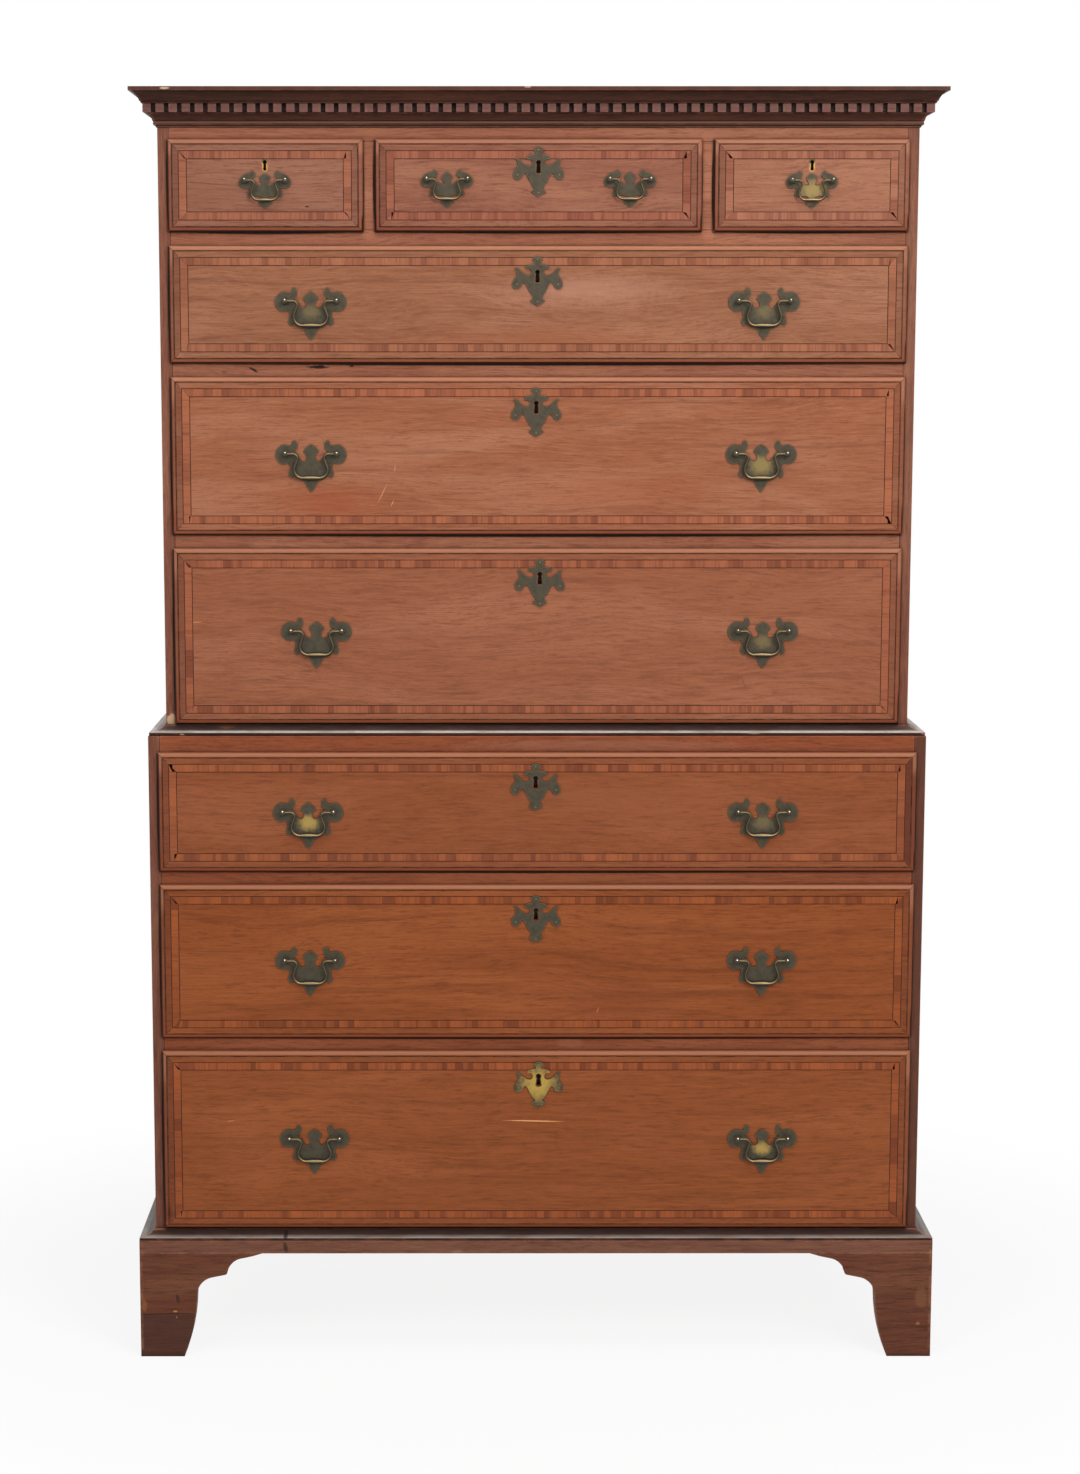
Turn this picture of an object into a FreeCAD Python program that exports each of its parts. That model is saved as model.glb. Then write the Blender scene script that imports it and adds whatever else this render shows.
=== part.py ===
import FreeCAD, Part
import math
import os
import re
import Sketcher

# Mahogany chest on chest. Frame: +Z up from the floor, +X to the right, drawers open towards -Y,
# origin under the middle of the whole piece. All sizes are in millimetres.

V = FreeCAD.Vector
doc = FreeCAD.newDocument("ChestOnChest")

# ---- Driving sizes ---------------------------------------------------------------------------

SIZES = {
    "case": {
        "lower_width": 1118,
        "lower_depth": 533,
        "upper_inset": 24,
        "side_thick": 16.5,
        "board_thick": 18,
        "back_thick": 9,
        "back_rebate": 8,
        "back_board_gap": 0.6,
        "rail_thick": 25,
        "rail_depth": 70,
        "frieze_thick": 22,
        "frieze_height": 68.5,
        "lower_top_rail": 26.5,
        "lower_bottom_thick": 16.5,
        "upper_bottom_thick": 17.5,
        "runner_width": 60,
        "dust_thick": 8,
        "kicker_width": 25,
        "kicker_thick": 22,
        "partition_from_middle": 238.2,
        "muntin_thick": 22,
        "partition_thick": 16,
    },
    "drawer openings": {
        "top_opening": 122.5,
        "upper_1_opening": 158.5,
        "upper_2_opening": 218,
        "upper_3_opening": 247.5,
        "lower_1_opening": 168,
        "lower_2_opening": 221,
        "lower_3_opening": 261,
    },
    "drawers": {
        "lip_overlap": 3,
        "lip_gap": 0.4,
        "lip_proud": 7,
        "lip_round": 5.6,
        "lip_width": 7,
        "field_proud": 8.2,
        "core_depth": 14,
        "drawer_clear": 1,
        "drawer_head_clear": 2.5,
        "side_drop": 3,
        "drawer_side_thick": 9.5,
        "drawer_back_thick": 8,
        "drawer_bottom_thick": 6,
        "drawer_bottom_rise": 8,
        "groove_depth": 4,
        "drawer_back_space": 10,
        "tail_length": 10,
        "pin_root": 5,
        "pin_flare": 3,
        "tail_pitch": 38,
    },
    "mouldings": {
        "cornice_height": 53.5,
        "cornice_projection": 36,
        "cornice_reveal": 19,
        "cornice_fillet": 5.5,
        "bed_height": 20,
        "bed_fillet": 5,
        "bed_ledge": 14,
        "dentil_height": 12,
        "dentil_reach": 18,
        "dentil_back": 10,
        "dentil_pitch": 18.2,
        "dentil_slot": 6.7,
        "dentil_slot_depth": 6,
        "waist_clear": 0.5,
        "waist_projection": 22.5,
        "waist_nose": 6,
        "base_projection": 22,
        "base_moulding_clear": 1,
        "base_nose": 5,
        "moulding_quirk": 1.5,
    },
    "base": {
        "foot_height": 157,
        "foot_width": 64,
        "bracket_width": 180,
        "bracket_thick": 20,
        "base_frame_thick": 19.5,
        "base_frame_inner": 40,
        "rear_bracket_width": 110,
        "foot_block": 38,
        "foot_block_lift": 4,
        "glue_block_length": 80,
        "glue_block": 18,
    },
    "handles": {
        "large_boring": 73,
        "large_plate_width": 100.8,
        "large_drop": 34.2,
        "large_shoulder": 11.5,
        "large_neck_round": 6,
        "large_flank": 11,
        "large_wire_radius": 1.9,
        "large_swell_radius": 3,
        "small_boring": 57.5,
        "small_plate_width": 72.6,
        "small_drop": 27,
        "small_shoulder": 9.1,
        "small_neck_round": 4.7,
        "small_flank": 8.7,
        "small_wire_radius": 1.6,
        "small_swell_radius": 2.5,
        "bail_lean": 20,
        "bail_tilt": 6,
        "bail_end_gap": 0.8,
        "hinge_clear": 0.05,
        "post_reach": 9,
        "ball_radius": 4.2,
        "neck_radius": 2.4,
        "collar_radius": 4.2,
        "collar_thick": 1.2,
        "shank_radius": 2,
        "nut_width": 9,
        "nut_thick": 3,
        "plate_thick": 1.5,
        "plate_drop": 1,
        "upper_handle_x": 320,
        "lower_handle_x": 327,
        "middle_handle_x": 128.5,
        "small_post_rise": 6.3,
        "middle_post_rise": 7.8,
        "upper_1_post_rise": 4.7,
        "upper_2_post_rise": 3.5,
        "upper_3_post_rise": 8.5,
        "lower_1_post_rise": 1.5,
        "lower_2_post_rise": 3.6,
        "lower_3_post_rise": 4,
        "upper_1_shift": -1,
        "upper_2_shift": -2.3,
        "upper_3_shift": 3.5,
        "lower_1_shift": -2.2,
        "lower_2_shift": -1.2,
        "lower_3_shift": 3.2,
    },
    "locks": {
        "escutcheon_drop": 48,
        "middle_escutcheon_drop": 44,
        "thread_escutcheon_drop": 36.5,
        "pin_radius": 0.9,
        "pin_head_radius": 1.5,
        "pin_head_thick": 0.7,
        "pin_length": 8,
        "key_round": 4.1,
        "key_rise": 11.1,
        "key_foot": 4.5,
        "key_half_width": 4.6,
        "thread_round": 5.2,
        "thread_rise": 4.4,
        "thread_foot": 9.6,
        "thread_half_width": 4.2,
        "thread_wall": 2.2,
        "thread_depth": 5,
        "lock_width": 68,
        "lock_thick": 9,
        "lock_below_key": 14,
        "lock_cover": 2,
    },
}

# ---- Planes and levels worked out from the sizes ---------------------------------------------

LINES = [
    ("front_y", "base_projection - (lower_depth + base_projection) / 2"),
    ("upper_front_y", "front_y + upper_inset"),
    ("back_y", "front_y + lower_depth"),
    ("inner_back_y", "back_y - back_thick"),
    ("lower_half", "lower_width / 2"),
    ("upper_half", "lower_half - upper_inset"),
    ("lower_inner", "lower_half - side_thick"),
    ("upper_inner", "upper_half - side_thick"),
    ("lower_base_z", "foot_height + base_frame_thick"),
    ("lower_3_floor", "lower_base_z + lower_bottom_thick"),
    ("lower_3_head", "lower_3_floor + lower_3_opening"),
    ("lower_2_floor", "lower_3_head + rail_thick"),
    ("lower_2_head", "lower_2_floor + lower_2_opening"),
    ("lower_1_floor", "lower_2_head + rail_thick"),
    ("lower_1_head", "lower_1_floor + lower_1_opening"),
    ("lower_top_z", "lower_1_head + lower_top_rail"),
    ("upper_3_floor", "lower_top_z + upper_bottom_thick"),
    ("upper_3_head", "upper_3_floor + upper_3_opening"),
    ("upper_2_floor", "upper_3_head + rail_thick"),
    ("upper_2_head", "upper_2_floor + upper_2_opening"),
    ("upper_1_floor", "upper_2_head + rail_thick"),
    ("upper_1_head", "upper_1_floor + upper_1_opening"),
    ("top_floor", "upper_1_head + rail_thick"),
    ("top_head", "top_floor + top_opening"),
    ("upper_top_z", "top_head + frieze_height"),
    ("cornice_z", "top_head + cornice_reveal"),
    ("middle_half", "partition_from_middle - muntin_thick / 2"),
    ("corner_half", "(upper_inner - partition_from_middle - muntin_thick / 2) / 2"),
    ("corner_x", "upper_inner - corner_half"),
    ("upper_box_depth", "inner_back_y - upper_front_y - drawer_back_space"),
    ("lower_box_depth", "inner_back_y - front_y - drawer_back_space"),
    ("base_half", "lower_half + base_projection"),
    ("waist_height", "upper_bottom_thick - lip_overlap - waist_clear"),
    ("base_moulding_height", "lower_bottom_thick - lip_overlap - base_moulding_clear"),
]
for bail in ("large", "small"):
    LINES += [
        (bail + "_half", bail + "_boring / 2"),
        (bail + "_bend_x", bail + "_half - " + bail + "_shoulder"),
        (bail + "_flank_x", bail + "_bend_x - cos(bail_lean * 1 deg) * " + bail + "_neck_round"),
        (bail + "_flank_z", "-(1 + sin(bail_lean * 1 deg)) * " + bail + "_neck_round"),
        (bail + "_bow_x", bail + "_flank_x + sin(bail_lean * 1 deg) * " + bail + "_flank"),
        (bail + "_bow_z", bail + "_flank_z - cos(bail_lean * 1 deg) * " + bail + "_flank"),
        (bail + "_bow_round", "(" + bail + "_drop + " + bail + "_bow_z) / (1 + sin(bail_lean * 1 deg))"),
        (bail + "_foot_x", bail + "_bow_x - cos(bail_lean * 1 deg) * " + bail + "_bow_round"),
    ]

sheet = doc.addObject("Spreadsheet::Sheet", "Dims")
lines = doc.addObject("App::VarSet", "Lines")
owner = {}
row = 0
for chapter, sizes in SIZES.items():
    row += 1
    sheet.set("A%d" % row, chapter)
    for alias, value in sizes.items():
        row += 1
        sheet.set("A%d" % row, alias.replace("_", " "))
        sheet.set("B%d" % row, str(value))
        sheet.setAlias("B%d" % row, alias)
        owner[alias] = "Dims"
doc.recompute()


def bind(text):
    """The names of sizes and lines in an expression, pointed at the sheet and the variable set."""
    return re.sub(r"[a-z][a-z_0-9]*", lambda word: owner.get(word[0], "") + word[0], text)


owner = {name: place + "." for name, place in owner.items()}
for name, text in LINES:
    lines.addProperty("App::PropertyFloat", name, "Lines")
    lines.setExpression(name, bind(text))
    owner[name] = "Lines."
doc.recompute()


def number(text):
    """What an expression comes to, in millimetres."""
    result = lines.evalExpression(bind(text))
    return float(getattr(result, "Value", result))


# ---- Ways of making a piece ------------------------------------------------------------------

parts = []


def place(piece, x="0", y="0", z="0"):
    """The piece's Placement follows three expressions."""
    for axis, text in (("x", x), ("y", y), ("z", z)):
        piece.setExpression("Placement.Base." + axis, bind(text))
    return piece


def board(name, x, y, z):
    """A squared board, given by its start and end along each axis."""
    piece = doc.addObject("Part::Box", name)
    for prop, (start, end) in (("Length", x), ("Width", y), ("Height", z)):
        piece.setExpression(prop, bind("(%s) - (%s)" % (end, start)))
    return place(piece, x[0], y[0], z[0])


def rod(name, radius, length):
    """A cylinder along +Z from its own origin."""
    piece = doc.addObject("Part::Cylinder", name)
    piece.setExpression("Radius", bind(radius))
    piece.setExpression("Height", bind(length))
    return piece


def group(name, members):
    """Separate solids held together as one piece."""
    piece = doc.addObject("Part::Compound", name)
    piece.Links = members
    return piece


def cut(name, base, *tools):
    """The base with the tools taken out of it."""
    piece = doc.addObject("Part::Cut", name)
    piece.Base = base
    piece.Tool = tools[0] if len(tools) == 1 else group(name + "_tools", list(tools))
    return piece


def fuse(name, *members):
    """Members that become one solid."""
    piece = doc.addObject("Part::MultiFuse", name)
    piece.Shapes = list(members)
    return piece


def mirrored(name, source, normal=V(1, 0, 0)):
    """The source's mirror image in the plane through the origin."""
    piece = doc.addObject("Part::Mirroring", name)
    piece.Source = source
    piece.Normal = normal
    return piece


def pair(source):
    """A left piece and its mirror image on the right."""
    return [source, mirrored(source.Name + "_right", source)]


def solid_from(name, shape):
    """A piece whose shape is worked out here."""
    piece = doc.addObject("Part::Feature", name)
    piece.Shape = shape
    return piece


def node(label, piece):
    """Marks a piece as a sub-part of its own."""
    piece.Label = label
    parts.append(piece)
    return piece


def new_body(name):
    return doc.addObject("PartDesign::Body", name)


def sketch_on(body, role, name, offset=None):
    """A sketch on one of the body's own origin planes, moved along its normal by an expression."""
    sketch = body.newObject("Sketcher::SketchObject", body.Name + "_" + name)
    plane = next(f for f in body.Origin.OriginFeatures if f.Role == role)
    sketch.AttachmentSupport = [(plane, "")]
    sketch.MapMode = "FlatFace"
    if offset:
        sketch.setExpression("AttachmentOffset.Base.z", bind(offset))
    return sketch


def outline(sketch, path, closed=True):
    """Lines through the path's points, each held by the sheet.

    A point is (x, y), or (x, y, radius, side) where an arc leads to it that swells to the left of the
    way there if side is 1, and to the right if it is -1.
    """
    corners = [V(number(point[0]), number(point[1]), 0) for point in path]
    first = 0 if closed else 1
    ends = []
    for i in range(first, len(path)):
        start, end, point = corners[i - 1], corners[i], path[i]
        if len(point) == 2:
            geometry = Part.LineSegment(start, end)
        else:
            radius = number(point[2])
            chord = end - start
            rise = radius - math.sqrt(max(radius**2 - chord.Length**2 / 4, 0))
            left = V(-chord.y, chord.x, 0).normalize()
            geometry = Part.Arc(start, (start + end) / 2 + left * rise * point[3], end)
        edge = sketch.addGeometry(geometry)
        turned = sketch.getPoint(edge, 1).distanceToPoint(start) > 1e-6
        ends.append((edge, 2, 1) if turned else (edge, 1, 2))
        if len(point) == 4:
            held = sketch.addConstraint(Sketcher.Constraint("Radius", edge, number(point[2])))
            sketch.setExpression("Constraints[%d]" % held, bind(point[2]))
    for (edge, _, end), (following, start, _) in zip(ends, ends[1:] + ends[:1] if closed else ends[1:]):
        sketch.addConstraint(Sketcher.Constraint("Coincident", edge, end, following, start))
    fixed = [(ends[i][0], ends[i][2], path[i + first]) for i in range(len(ends))]
    if not closed:
        fixed.append((ends[0][0], ends[0][1], path[0]))
    for edge, end, point in fixed:
        for way, text in (("DistanceX", point[0]), ("DistanceY", point[1])):
            held = sketch.addConstraint(Sketcher.Constraint(way, -1, 1, edge, end, number(text)))
            sketch.setExpression("Constraints[%d]" % held, bind(text))
    return sketch


def rectangle(x, y):
    """The corners of a rectangle between two pairs of expressions."""
    return [(x[0], y[0]), (x[1], y[0]), (x[1], y[1]), (x[0], y[1])]


def pad(sketch, length, reverse=False, centred=False):
    body = sketch.getParentGeoFeatureGroup()
    feature = body.newObject("PartDesign::Pad", sketch.Name + "_pad")
    feature.Profile = sketch
    feature.setExpression("Length", bind(length))
    feature.Reversed = reverse
    feature.Midplane = centred
    sketch.Visibility = False
    doc.recompute()
    return feature


def pocket(sketch, length=None):
    """Cuts along the sketch's own normal, through all unless a length is given."""
    body = sketch.getParentGeoFeatureGroup()
    feature = body.newObject("PartDesign::Pocket", sketch.Name + "_pocket")
    feature.Profile = sketch
    feature.Reversed = True
    if length:
        feature.setExpression("Length", bind(length))
    else:
        feature.Type = "ThroughAll"
    doc.recompute()
    return feature


def repeat(feature, sketch, axis, pitch, count):
    """A row of the feature along one of its sketch's axes."""
    body = sketch.getParentGeoFeatureGroup()
    row_of = body.newObject("PartDesign::LinearPattern", feature.Name + "_row")
    row_of.Originals = [feature]
    row_of.Direction = (sketch, [axis])
    row_of.setExpression("Length", bind("(%s) * %d" % (pitch, count - 1)))
    row_of.Occurrences = count
    body.Tip = row_of
    doc.recompute()
    return row_of


def turned(sketch, axis="V_Axis"):
    """A full turn of the sketch about one of its axes."""
    body = sketch.getParentGeoFeatureGroup()
    feature = body.newObject("PartDesign::Revolution", sketch.Name + "_turn")
    feature.Profile = sketch
    feature.ReferenceAxis = (sketch, [axis])
    feature.Angle = 360
    doc.recompute()
    return feature


# ---- Case boards ------------------------------------------------------------------------------

BACK_BOARD_COUNT = {"upper": 6, "lower": 6}


def case_sides(case, front, bottom, top):
    """Two full-height sides, each rebated behind for the back boards."""
    inner, half = case + "_inner", case + "_half"
    left = board(case + "_side_board", ("-" + half, "-" + inner), (front, "back_y"), (bottom, top))
    rebate = board(
        case + "_side_rebate",
        ("-(%s + back_rebate)" % inner, "-" + inner),
        ("inner_back_y", "back_y"),
        (bottom, top),
    )
    return node(case + "_sides", group(case + "_sides", pair(cut(case + "_side", left, rebate))))


def case_back(case, bottom, top):
    """Upright back boards nailed into the rebates, side by side."""
    count = BACK_BOARD_COUNT[case]
    edge = "(%s_inner + back_rebate)" % case
    boards = []
    for i in range(count):
        start = "-%s + %d * 2 * %s / %d" % (edge, i, edge, count)
        end = "-%s + %d * 2 * %s / %d" % (edge, i + 1, edge, count)
        if i < count - 1:
            end += " - back_board_gap"
        name = "%s_back_board_%d" % (case, i + 1)
        boards.append(board(name, (start, end), ("inner_back_y", "back_y"), (bottom, top)))
    return node(case + "_back_boards", group(case + "_back_boards", boards))


def full_width(case):
    return "-%s_inner" % case, "%s_inner" % case


case_sides("upper", "upper_front_y", "lower_top_z", "upper_top_z")
case_sides("lower", "front_y", "lower_base_z", "lower_top_z")
case_back("upper", "lower_top_z", "upper_top_z")
case_back("lower", "lower_base_z", "lower_top_z")

behind_frieze = ("upper_front_y + frieze_thick", "inner_back_y")
behind_top_rail = ("front_y + frieze_thick", "inner_back_y")
upper_lid = ("upper_top_z - board_thick", "upper_top_z")
lower_lid = ("lower_top_z - board_thick", "lower_top_z")
upper_behind_rails = ("upper_front_y + rail_depth", "inner_back_y")
lower_behind_rails = ("front_y + rail_depth", "inner_back_y")

node("upper_top_and_bottom", group("upper_top_and_bottom", [
    board("upper_top_board", full_width("upper"), behind_frieze, upper_lid),
    board("upper_bottom_board", full_width("upper"), ("upper_front_y", "inner_back_y"),
          ("lower_top_z", "upper_3_floor")),
]))
node("lower_top_and_bottom", group("lower_top_and_bottom", [
    board("lower_top_board", full_width("lower"), behind_top_rail, lower_lid),
    board("lower_bottom_board", full_width("lower"), ("front_y", "inner_back_y"),
          ("lower_base_z", "lower_3_floor")),
]))

# ---- Rails, muntins, partitions, runners and dust boards --------------------------------------

upper_levels = [("upper_3_head", "upper_2_floor"), ("upper_2_head", "upper_1_floor"), ("upper_1_head", "top_floor")]
lower_levels = [("lower_3_head", "lower_2_floor"), ("lower_2_head", "lower_1_floor")]

rail_y = ("upper_front_y", "upper_front_y + rail_depth")
upper_rails = [board("upper_rail_%d" % (i + 1), full_width("upper"), rail_y, z) for i, z in enumerate(upper_levels)]
upper_rails.append(board("frieze_rail", full_width("upper"), ("upper_front_y", "upper_front_y + frieze_thick"),
                         ("top_head", "upper_top_z")))
muntin_x = ("-partition_from_middle - muntin_thick / 2", "-partition_from_middle + muntin_thick / 2")
upper_rails += pair(board("muntin", muntin_x, ("upper_front_y", "upper_front_y + frieze_thick"),
                          ("top_floor", "top_head")))
node("upper_rails", group("upper_rails", upper_rails))

rail_y = ("front_y", "front_y + rail_depth")
lower_rails = [board("lower_rail_%d" % (i + 1), full_width("lower"), rail_y, z) for i, z in enumerate(lower_levels)]
lower_rails.append(board("lower_top_rail_board", full_width("lower"), ("front_y", "front_y + frieze_thick"),
                         ("lower_1_head", "lower_top_z")))
node("lower_rails", group("lower_rails", lower_rails))

partition_x = ("-partition_from_middle - partition_thick / 2", "-partition_from_middle + partition_thick / 2")
partitions = pair(board("partition", partition_x, behind_frieze, ("top_floor", "upper_top_z - board_thick")))


def dust_board(name, x, y, level):
    """A thin panel half-way up the thickness of its rail."""
    middle = "(%s + %s) / 2" % level
    return board(name, x, y, (middle + " - dust_thick / 2", middle + " + dust_thick / 2"))


def runners(case, levels, y):
    """Runners glued to the sides behind each rail, with a dust board between them."""
    pieces = []
    inner = case + "_inner"
    for i, level in enumerate(levels):
        name = "%s_runner_%d" % (case, i + 1)
        pieces += pair(board(name, ("-" + inner, "-%s + runner_width" % inner), y, level))
        if level[1] != "top_floor":
            x = ("-%s + runner_width" % inner, "%s - runner_width" % inner)
            pieces.append(dust_board("%s_dust_board_%d" % (case, i + 1), x, y, level))
    return pieces


upper_runners = runners("upper", upper_levels, upper_behind_rails)
bearer_x = ("-partition_from_middle - runner_width / 2", "-partition_from_middle + runner_width / 2")
upper_runners += pair(board("middle_bearer", bearer_x, upper_behind_rails, upper_levels[2]))
upper_runners += pair(dust_board("side_dust_board", ("-upper_inner + runner_width", bearer_x[0]),
                                 upper_behind_rails, upper_levels[2]))
upper_runners.append(dust_board("middle_dust_board", (bearer_x[1], "partition_from_middle - runner_width / 2"),
                                upper_behind_rails, upper_levels[2]))
kicker_z = ("top_head", "top_head + kicker_thick")
kicker_edges = {
    "side_kicker": ("-upper_inner", "-upper_inner + kicker_width"),
    "outer_kicker": (partition_x[0] + " - kicker_width", partition_x[0]),
    "inner_kicker": (partition_x[1], partition_x[1] + " + kicker_width"),
}
for name, x in kicker_edges.items():
    upper_runners += pair(board(name, x, behind_frieze, kicker_z))
node("upper_runners_and_partitions", group("upper_runners", upper_runners + partitions))

lower_runners = runners("lower", lower_levels, lower_behind_rails)
lower_runners += pair(board("lower_kicker", ("-lower_inner", "-lower_inner + kicker_width"), behind_top_rail,
                            ("lower_1_head", "lower_top_z - board_thick")))
node("lower_runners", group("lower_runners", lower_runners))

# ---- Mitred mouldings --------------------------------------------------------------------------


def mitred(name, profile, half, front, bottom, reach, inner="0"):
    """A moulding along the front and both sides, mitred at the two front corners.

    The profile's points are (outwards, up, ...) from the case's corner line; reach is how far it
    stands out, and inner how far it goes in under the case.
    """
    corner = "%s + %s" % (half, reach)
    run = "back_y - (%s) + %s" % (front, reach)
    front_body = new_body(name + "_front")
    outline(sketch_on(front_body, "YZ_Plane", "profile"), [("-(%s)" % p[0],) + p[1:] for p in profile])
    pad(doc.getObject(front_body.Name + "_profile"), "2 * (%s)" % corner, centred=True)
    for side in ("-", ""):
        mitre = sketch_on(front_body, "XY_Plane", "mitre_right" if side == "" else "mitre_left")
        points = [(corner, "-(%s)" % reach), (corner, inner), ("%s - %s" % (half, inner), inner)]
        outline(mitre, [("%s(%s)" % (side, x), y) for x, y in points])
        pocket(mitre)
    place(front_body, "0", front, bottom)

    side_body = new_body(name + "_side")
    profile_sketch = sketch_on(side_body, "XZ_Plane", "profile")
    outline(profile_sketch, [("-(%s + %s)" % (half, p[0]),) + p[1:] for p in profile])
    pad(profile_sketch, run, reverse=True)
    mitre = sketch_on(side_body, "XY_Plane", "mitre")
    outline(mitre, [("-(%s)" % corner, "0"), ("-(%s) + %s" % (half, inner), "0"),
                    ("-(%s) + %s" % (half, inner), "%s + %s" % (reach, inner))])
    pocket(mitre)
    place(side_body, "0", "%s - %s" % (front, reach), bottom)
    return [front_body] + pair(side_body)


def cove_profile(height, projection, nose):
    """A rounded nose below, then a hollow sweeping up and back to the case."""
    return [
        ("0", "0"),
        (projection + " - moulding_quirk", "0"),
        (projection + " - moulding_quirk", nose, nose + " * 0.6", 1),
        (projection + " - 2 * moulding_quirk", nose),
        ("moulding_quirk", height + " - moulding_quirk / 2", "1.1 * " + projection, -1),
        ("moulding_quirk", height),
        ("0", height),
    ]


cornice_profile = [
    ("0", "0"),
    ("1", "0"),
    ("1", "3.6", "2.2", 1),
    ("bed_fillet", "3.6"),
    ("bed_fillet", "9"),
    ("bed_fillet + 1", "9"),
    ("bed_ledge", "bed_height", "14", -1),
    ("dentil_back", "bed_height"),
    ("dentil_back", "bed_height + dentil_height"),
    ("dentil_reach + 1.5", "bed_height + dentil_height"),
    ("dentil_reach + 1.5", "bed_height + dentil_height + 3", "1.7", 1),
    ("dentil_reach + 4", "bed_height + dentil_height + 3"),
    ("cornice_projection - 3.5", "cornice_height - cornice_fillet", "24", -1),
    ("cornice_projection", "cornice_height - cornice_fillet"),
    ("cornice_projection", "cornice_height"),
    ("0", "cornice_height"),
]
cornice = mitred("cornice", cornice_profile, "upper_half", "upper_front_y", "cornice_z", "cornice_projection")
node("cornice", group("cornice_group", cornice))

waist = mitred("waist", cove_profile("waist_height", "waist_projection", "waist_nose"), "upper_half",
               "upper_front_y", "lower_top_z", "waist_projection")
node("waist_moulding", group("waist_group", waist))

base_cove = mitred("base_cove", cove_profile("base_moulding_height", "base_projection", "base_nose"),
                   "lower_half", "front_y", "lower_base_z", "base_projection")
node("base_moulding", group("base_cove_group", base_cove))

frame_profile = rectangle(("-base_frame_inner", "base_projection"), ("0", "base_frame_thick"))
base_frame = mitred("base_frame", frame_profile, "lower_half", "front_y", "foot_height", "base_projection",
                    "base_frame_inner")
base_frame.append(board("base_frame_back", ("-(lower_half - base_frame_inner)", "lower_half - base_frame_inner"),
                        ("back_y - base_frame_inner", "back_y"), ("foot_height", "lower_base_z")))
node("base_frame", group("base_frame_group", base_frame))

# ---- Dentil strips -----------------------------------------------------------------------------

strip_z = ("0", "dentil_height")


def toothed(strip, sketch_plane_x, sketch_plane_y, axis, length):
    """Saws the slots of a dentil strip; the first tooth starts at the strip's outer end."""
    count = round(number("(%s + dentil_slot) / dentil_pitch" % length))
    pitch = "((%s + dentil_slot) / %d)" % (length, count)
    sketch = sketch_on(strip, "XY_Plane", "slot")
    start = pitch + " - dentil_slot"
    along = (start, pitch)
    x, y = (along, sketch_plane_y) if axis == "H_Axis" else (sketch_plane_x, along)
    outline(sketch, rectangle(x, y))
    repeat(pocket(sketch), sketch, axis, pitch, count - 1)


front_strip = new_body("dentil_front")
front_length = "2 * (upper_half + dentil_reach)"
outline(sketch_on(front_strip, "YZ_Plane", "profile"), rectangle(("0", "dentil_reach - dentil_back"), strip_z))
pad(doc.getObject("dentil_front_profile"), front_length)
toothed(front_strip, None, ("-1", "dentil_slot_depth"), "H_Axis", "(%s)" % front_length)
place(front_strip, "-(upper_half + dentil_reach)", "upper_front_y - dentil_reach", "cornice_z + bed_height")

side_strip = new_body("dentil_side")
side_length = "back_y - upper_front_y + dentil_reach"
strip_start = "dentil_reach - dentil_back"
outline(sketch_on(side_strip, "YZ_Plane", "profile"), rectangle((strip_start, side_length), strip_z))
pad(doc.getObject("dentil_side_profile"), "dentil_reach - dentil_back")
toothed(side_strip, ("-1", "dentil_slot_depth"), None, "V_Axis", "(%s)" % side_length)
place(side_strip, "-(upper_half + dentil_reach)", "upper_front_y - dentil_reach", "cornice_z + bed_height")
node("dentil_strips", group("dentil_strips", [front_strip] + pair(side_strip)))

# ---- Bracket feet ------------------------------------------------------------------------------

bracket_path = [
    ("0", "0"),
    ("foot_width", "0"),
    ("foot_width + 19.5", "foot_height - 64.5", "260", -1),
    ("foot_width + 40", "foot_height - 37", "28", 1),
    ("foot_width + 59.5", "foot_height - 33"),
    ("foot_width + 64.5", "foot_height - 27.5", "5", -1),
    ("foot_width + 82", "foot_height - 8.5", "27", 1),
    ("bracket_width - 15", "foot_height - 4.5"),
    ("bracket_width", "foot_height"),
    ("0", "foot_height"),
]


def bracket(name):
    """A shaped bracket face from its corner along +X, mitred at the corner, thickness along +Y."""
    body = new_body(name)
    outline(sketch_on(body, "XZ_Plane", "shape"), bracket_path)
    pad(doc.getObject(body.Name + "_shape"), "bracket_thick", reverse=True)
    mitre = sketch_on(body, "XY_Plane", "mitre")
    outline(mitre, [("0", "0"), ("bracket_thick", "bracket_thick"), ("0", "bracket_thick")])
    pocket(mitre)
    return body


def foot_corner(name, corner_y):
    """The corner block of a foot and the two blocks glued along its brackets, behind the faces."""
    inside = "bracket_thick"
    x0 = "-base_half + " + inside
    blocks = [board(name + "_corner_block", (x0, x0 + " + foot_block"),
                    corner_y(inside, inside + " + foot_block"), ("foot_block_lift", "foot_height"))]
    reach = inside + " + foot_block"
    glue_z = ("foot_height - glue_block", "foot_height")
    blocks.append(board(name + "_side_glue_block", (x0, x0 + " + glue_block"),
                        corner_y(reach, reach + " + glue_block_length"), glue_z))
    blocks.append(board(name + "_face_glue_block", (x0 + " + foot_block", x0 + " + foot_block + glue_block_length"),
                        corner_y(inside, inside + " + glue_block"), glue_z))
    return blocks


def from_front(start, end):
    return "front_y - base_projection + " + start, "front_y - base_projection + " + end


def from_back(start, end):
    return "back_y - (%s)" % end, "back_y - (%s)" % start


corner = ("-base_half", "front_y - base_projection", "0")
front_bracket = place(bracket("front_bracket"), *corner)
side_shape = bracket("side_bracket_shape")
side_bracket = place(mirrored("side_bracket", side_shape, V(1, -1, 0)), *corner)

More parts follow.
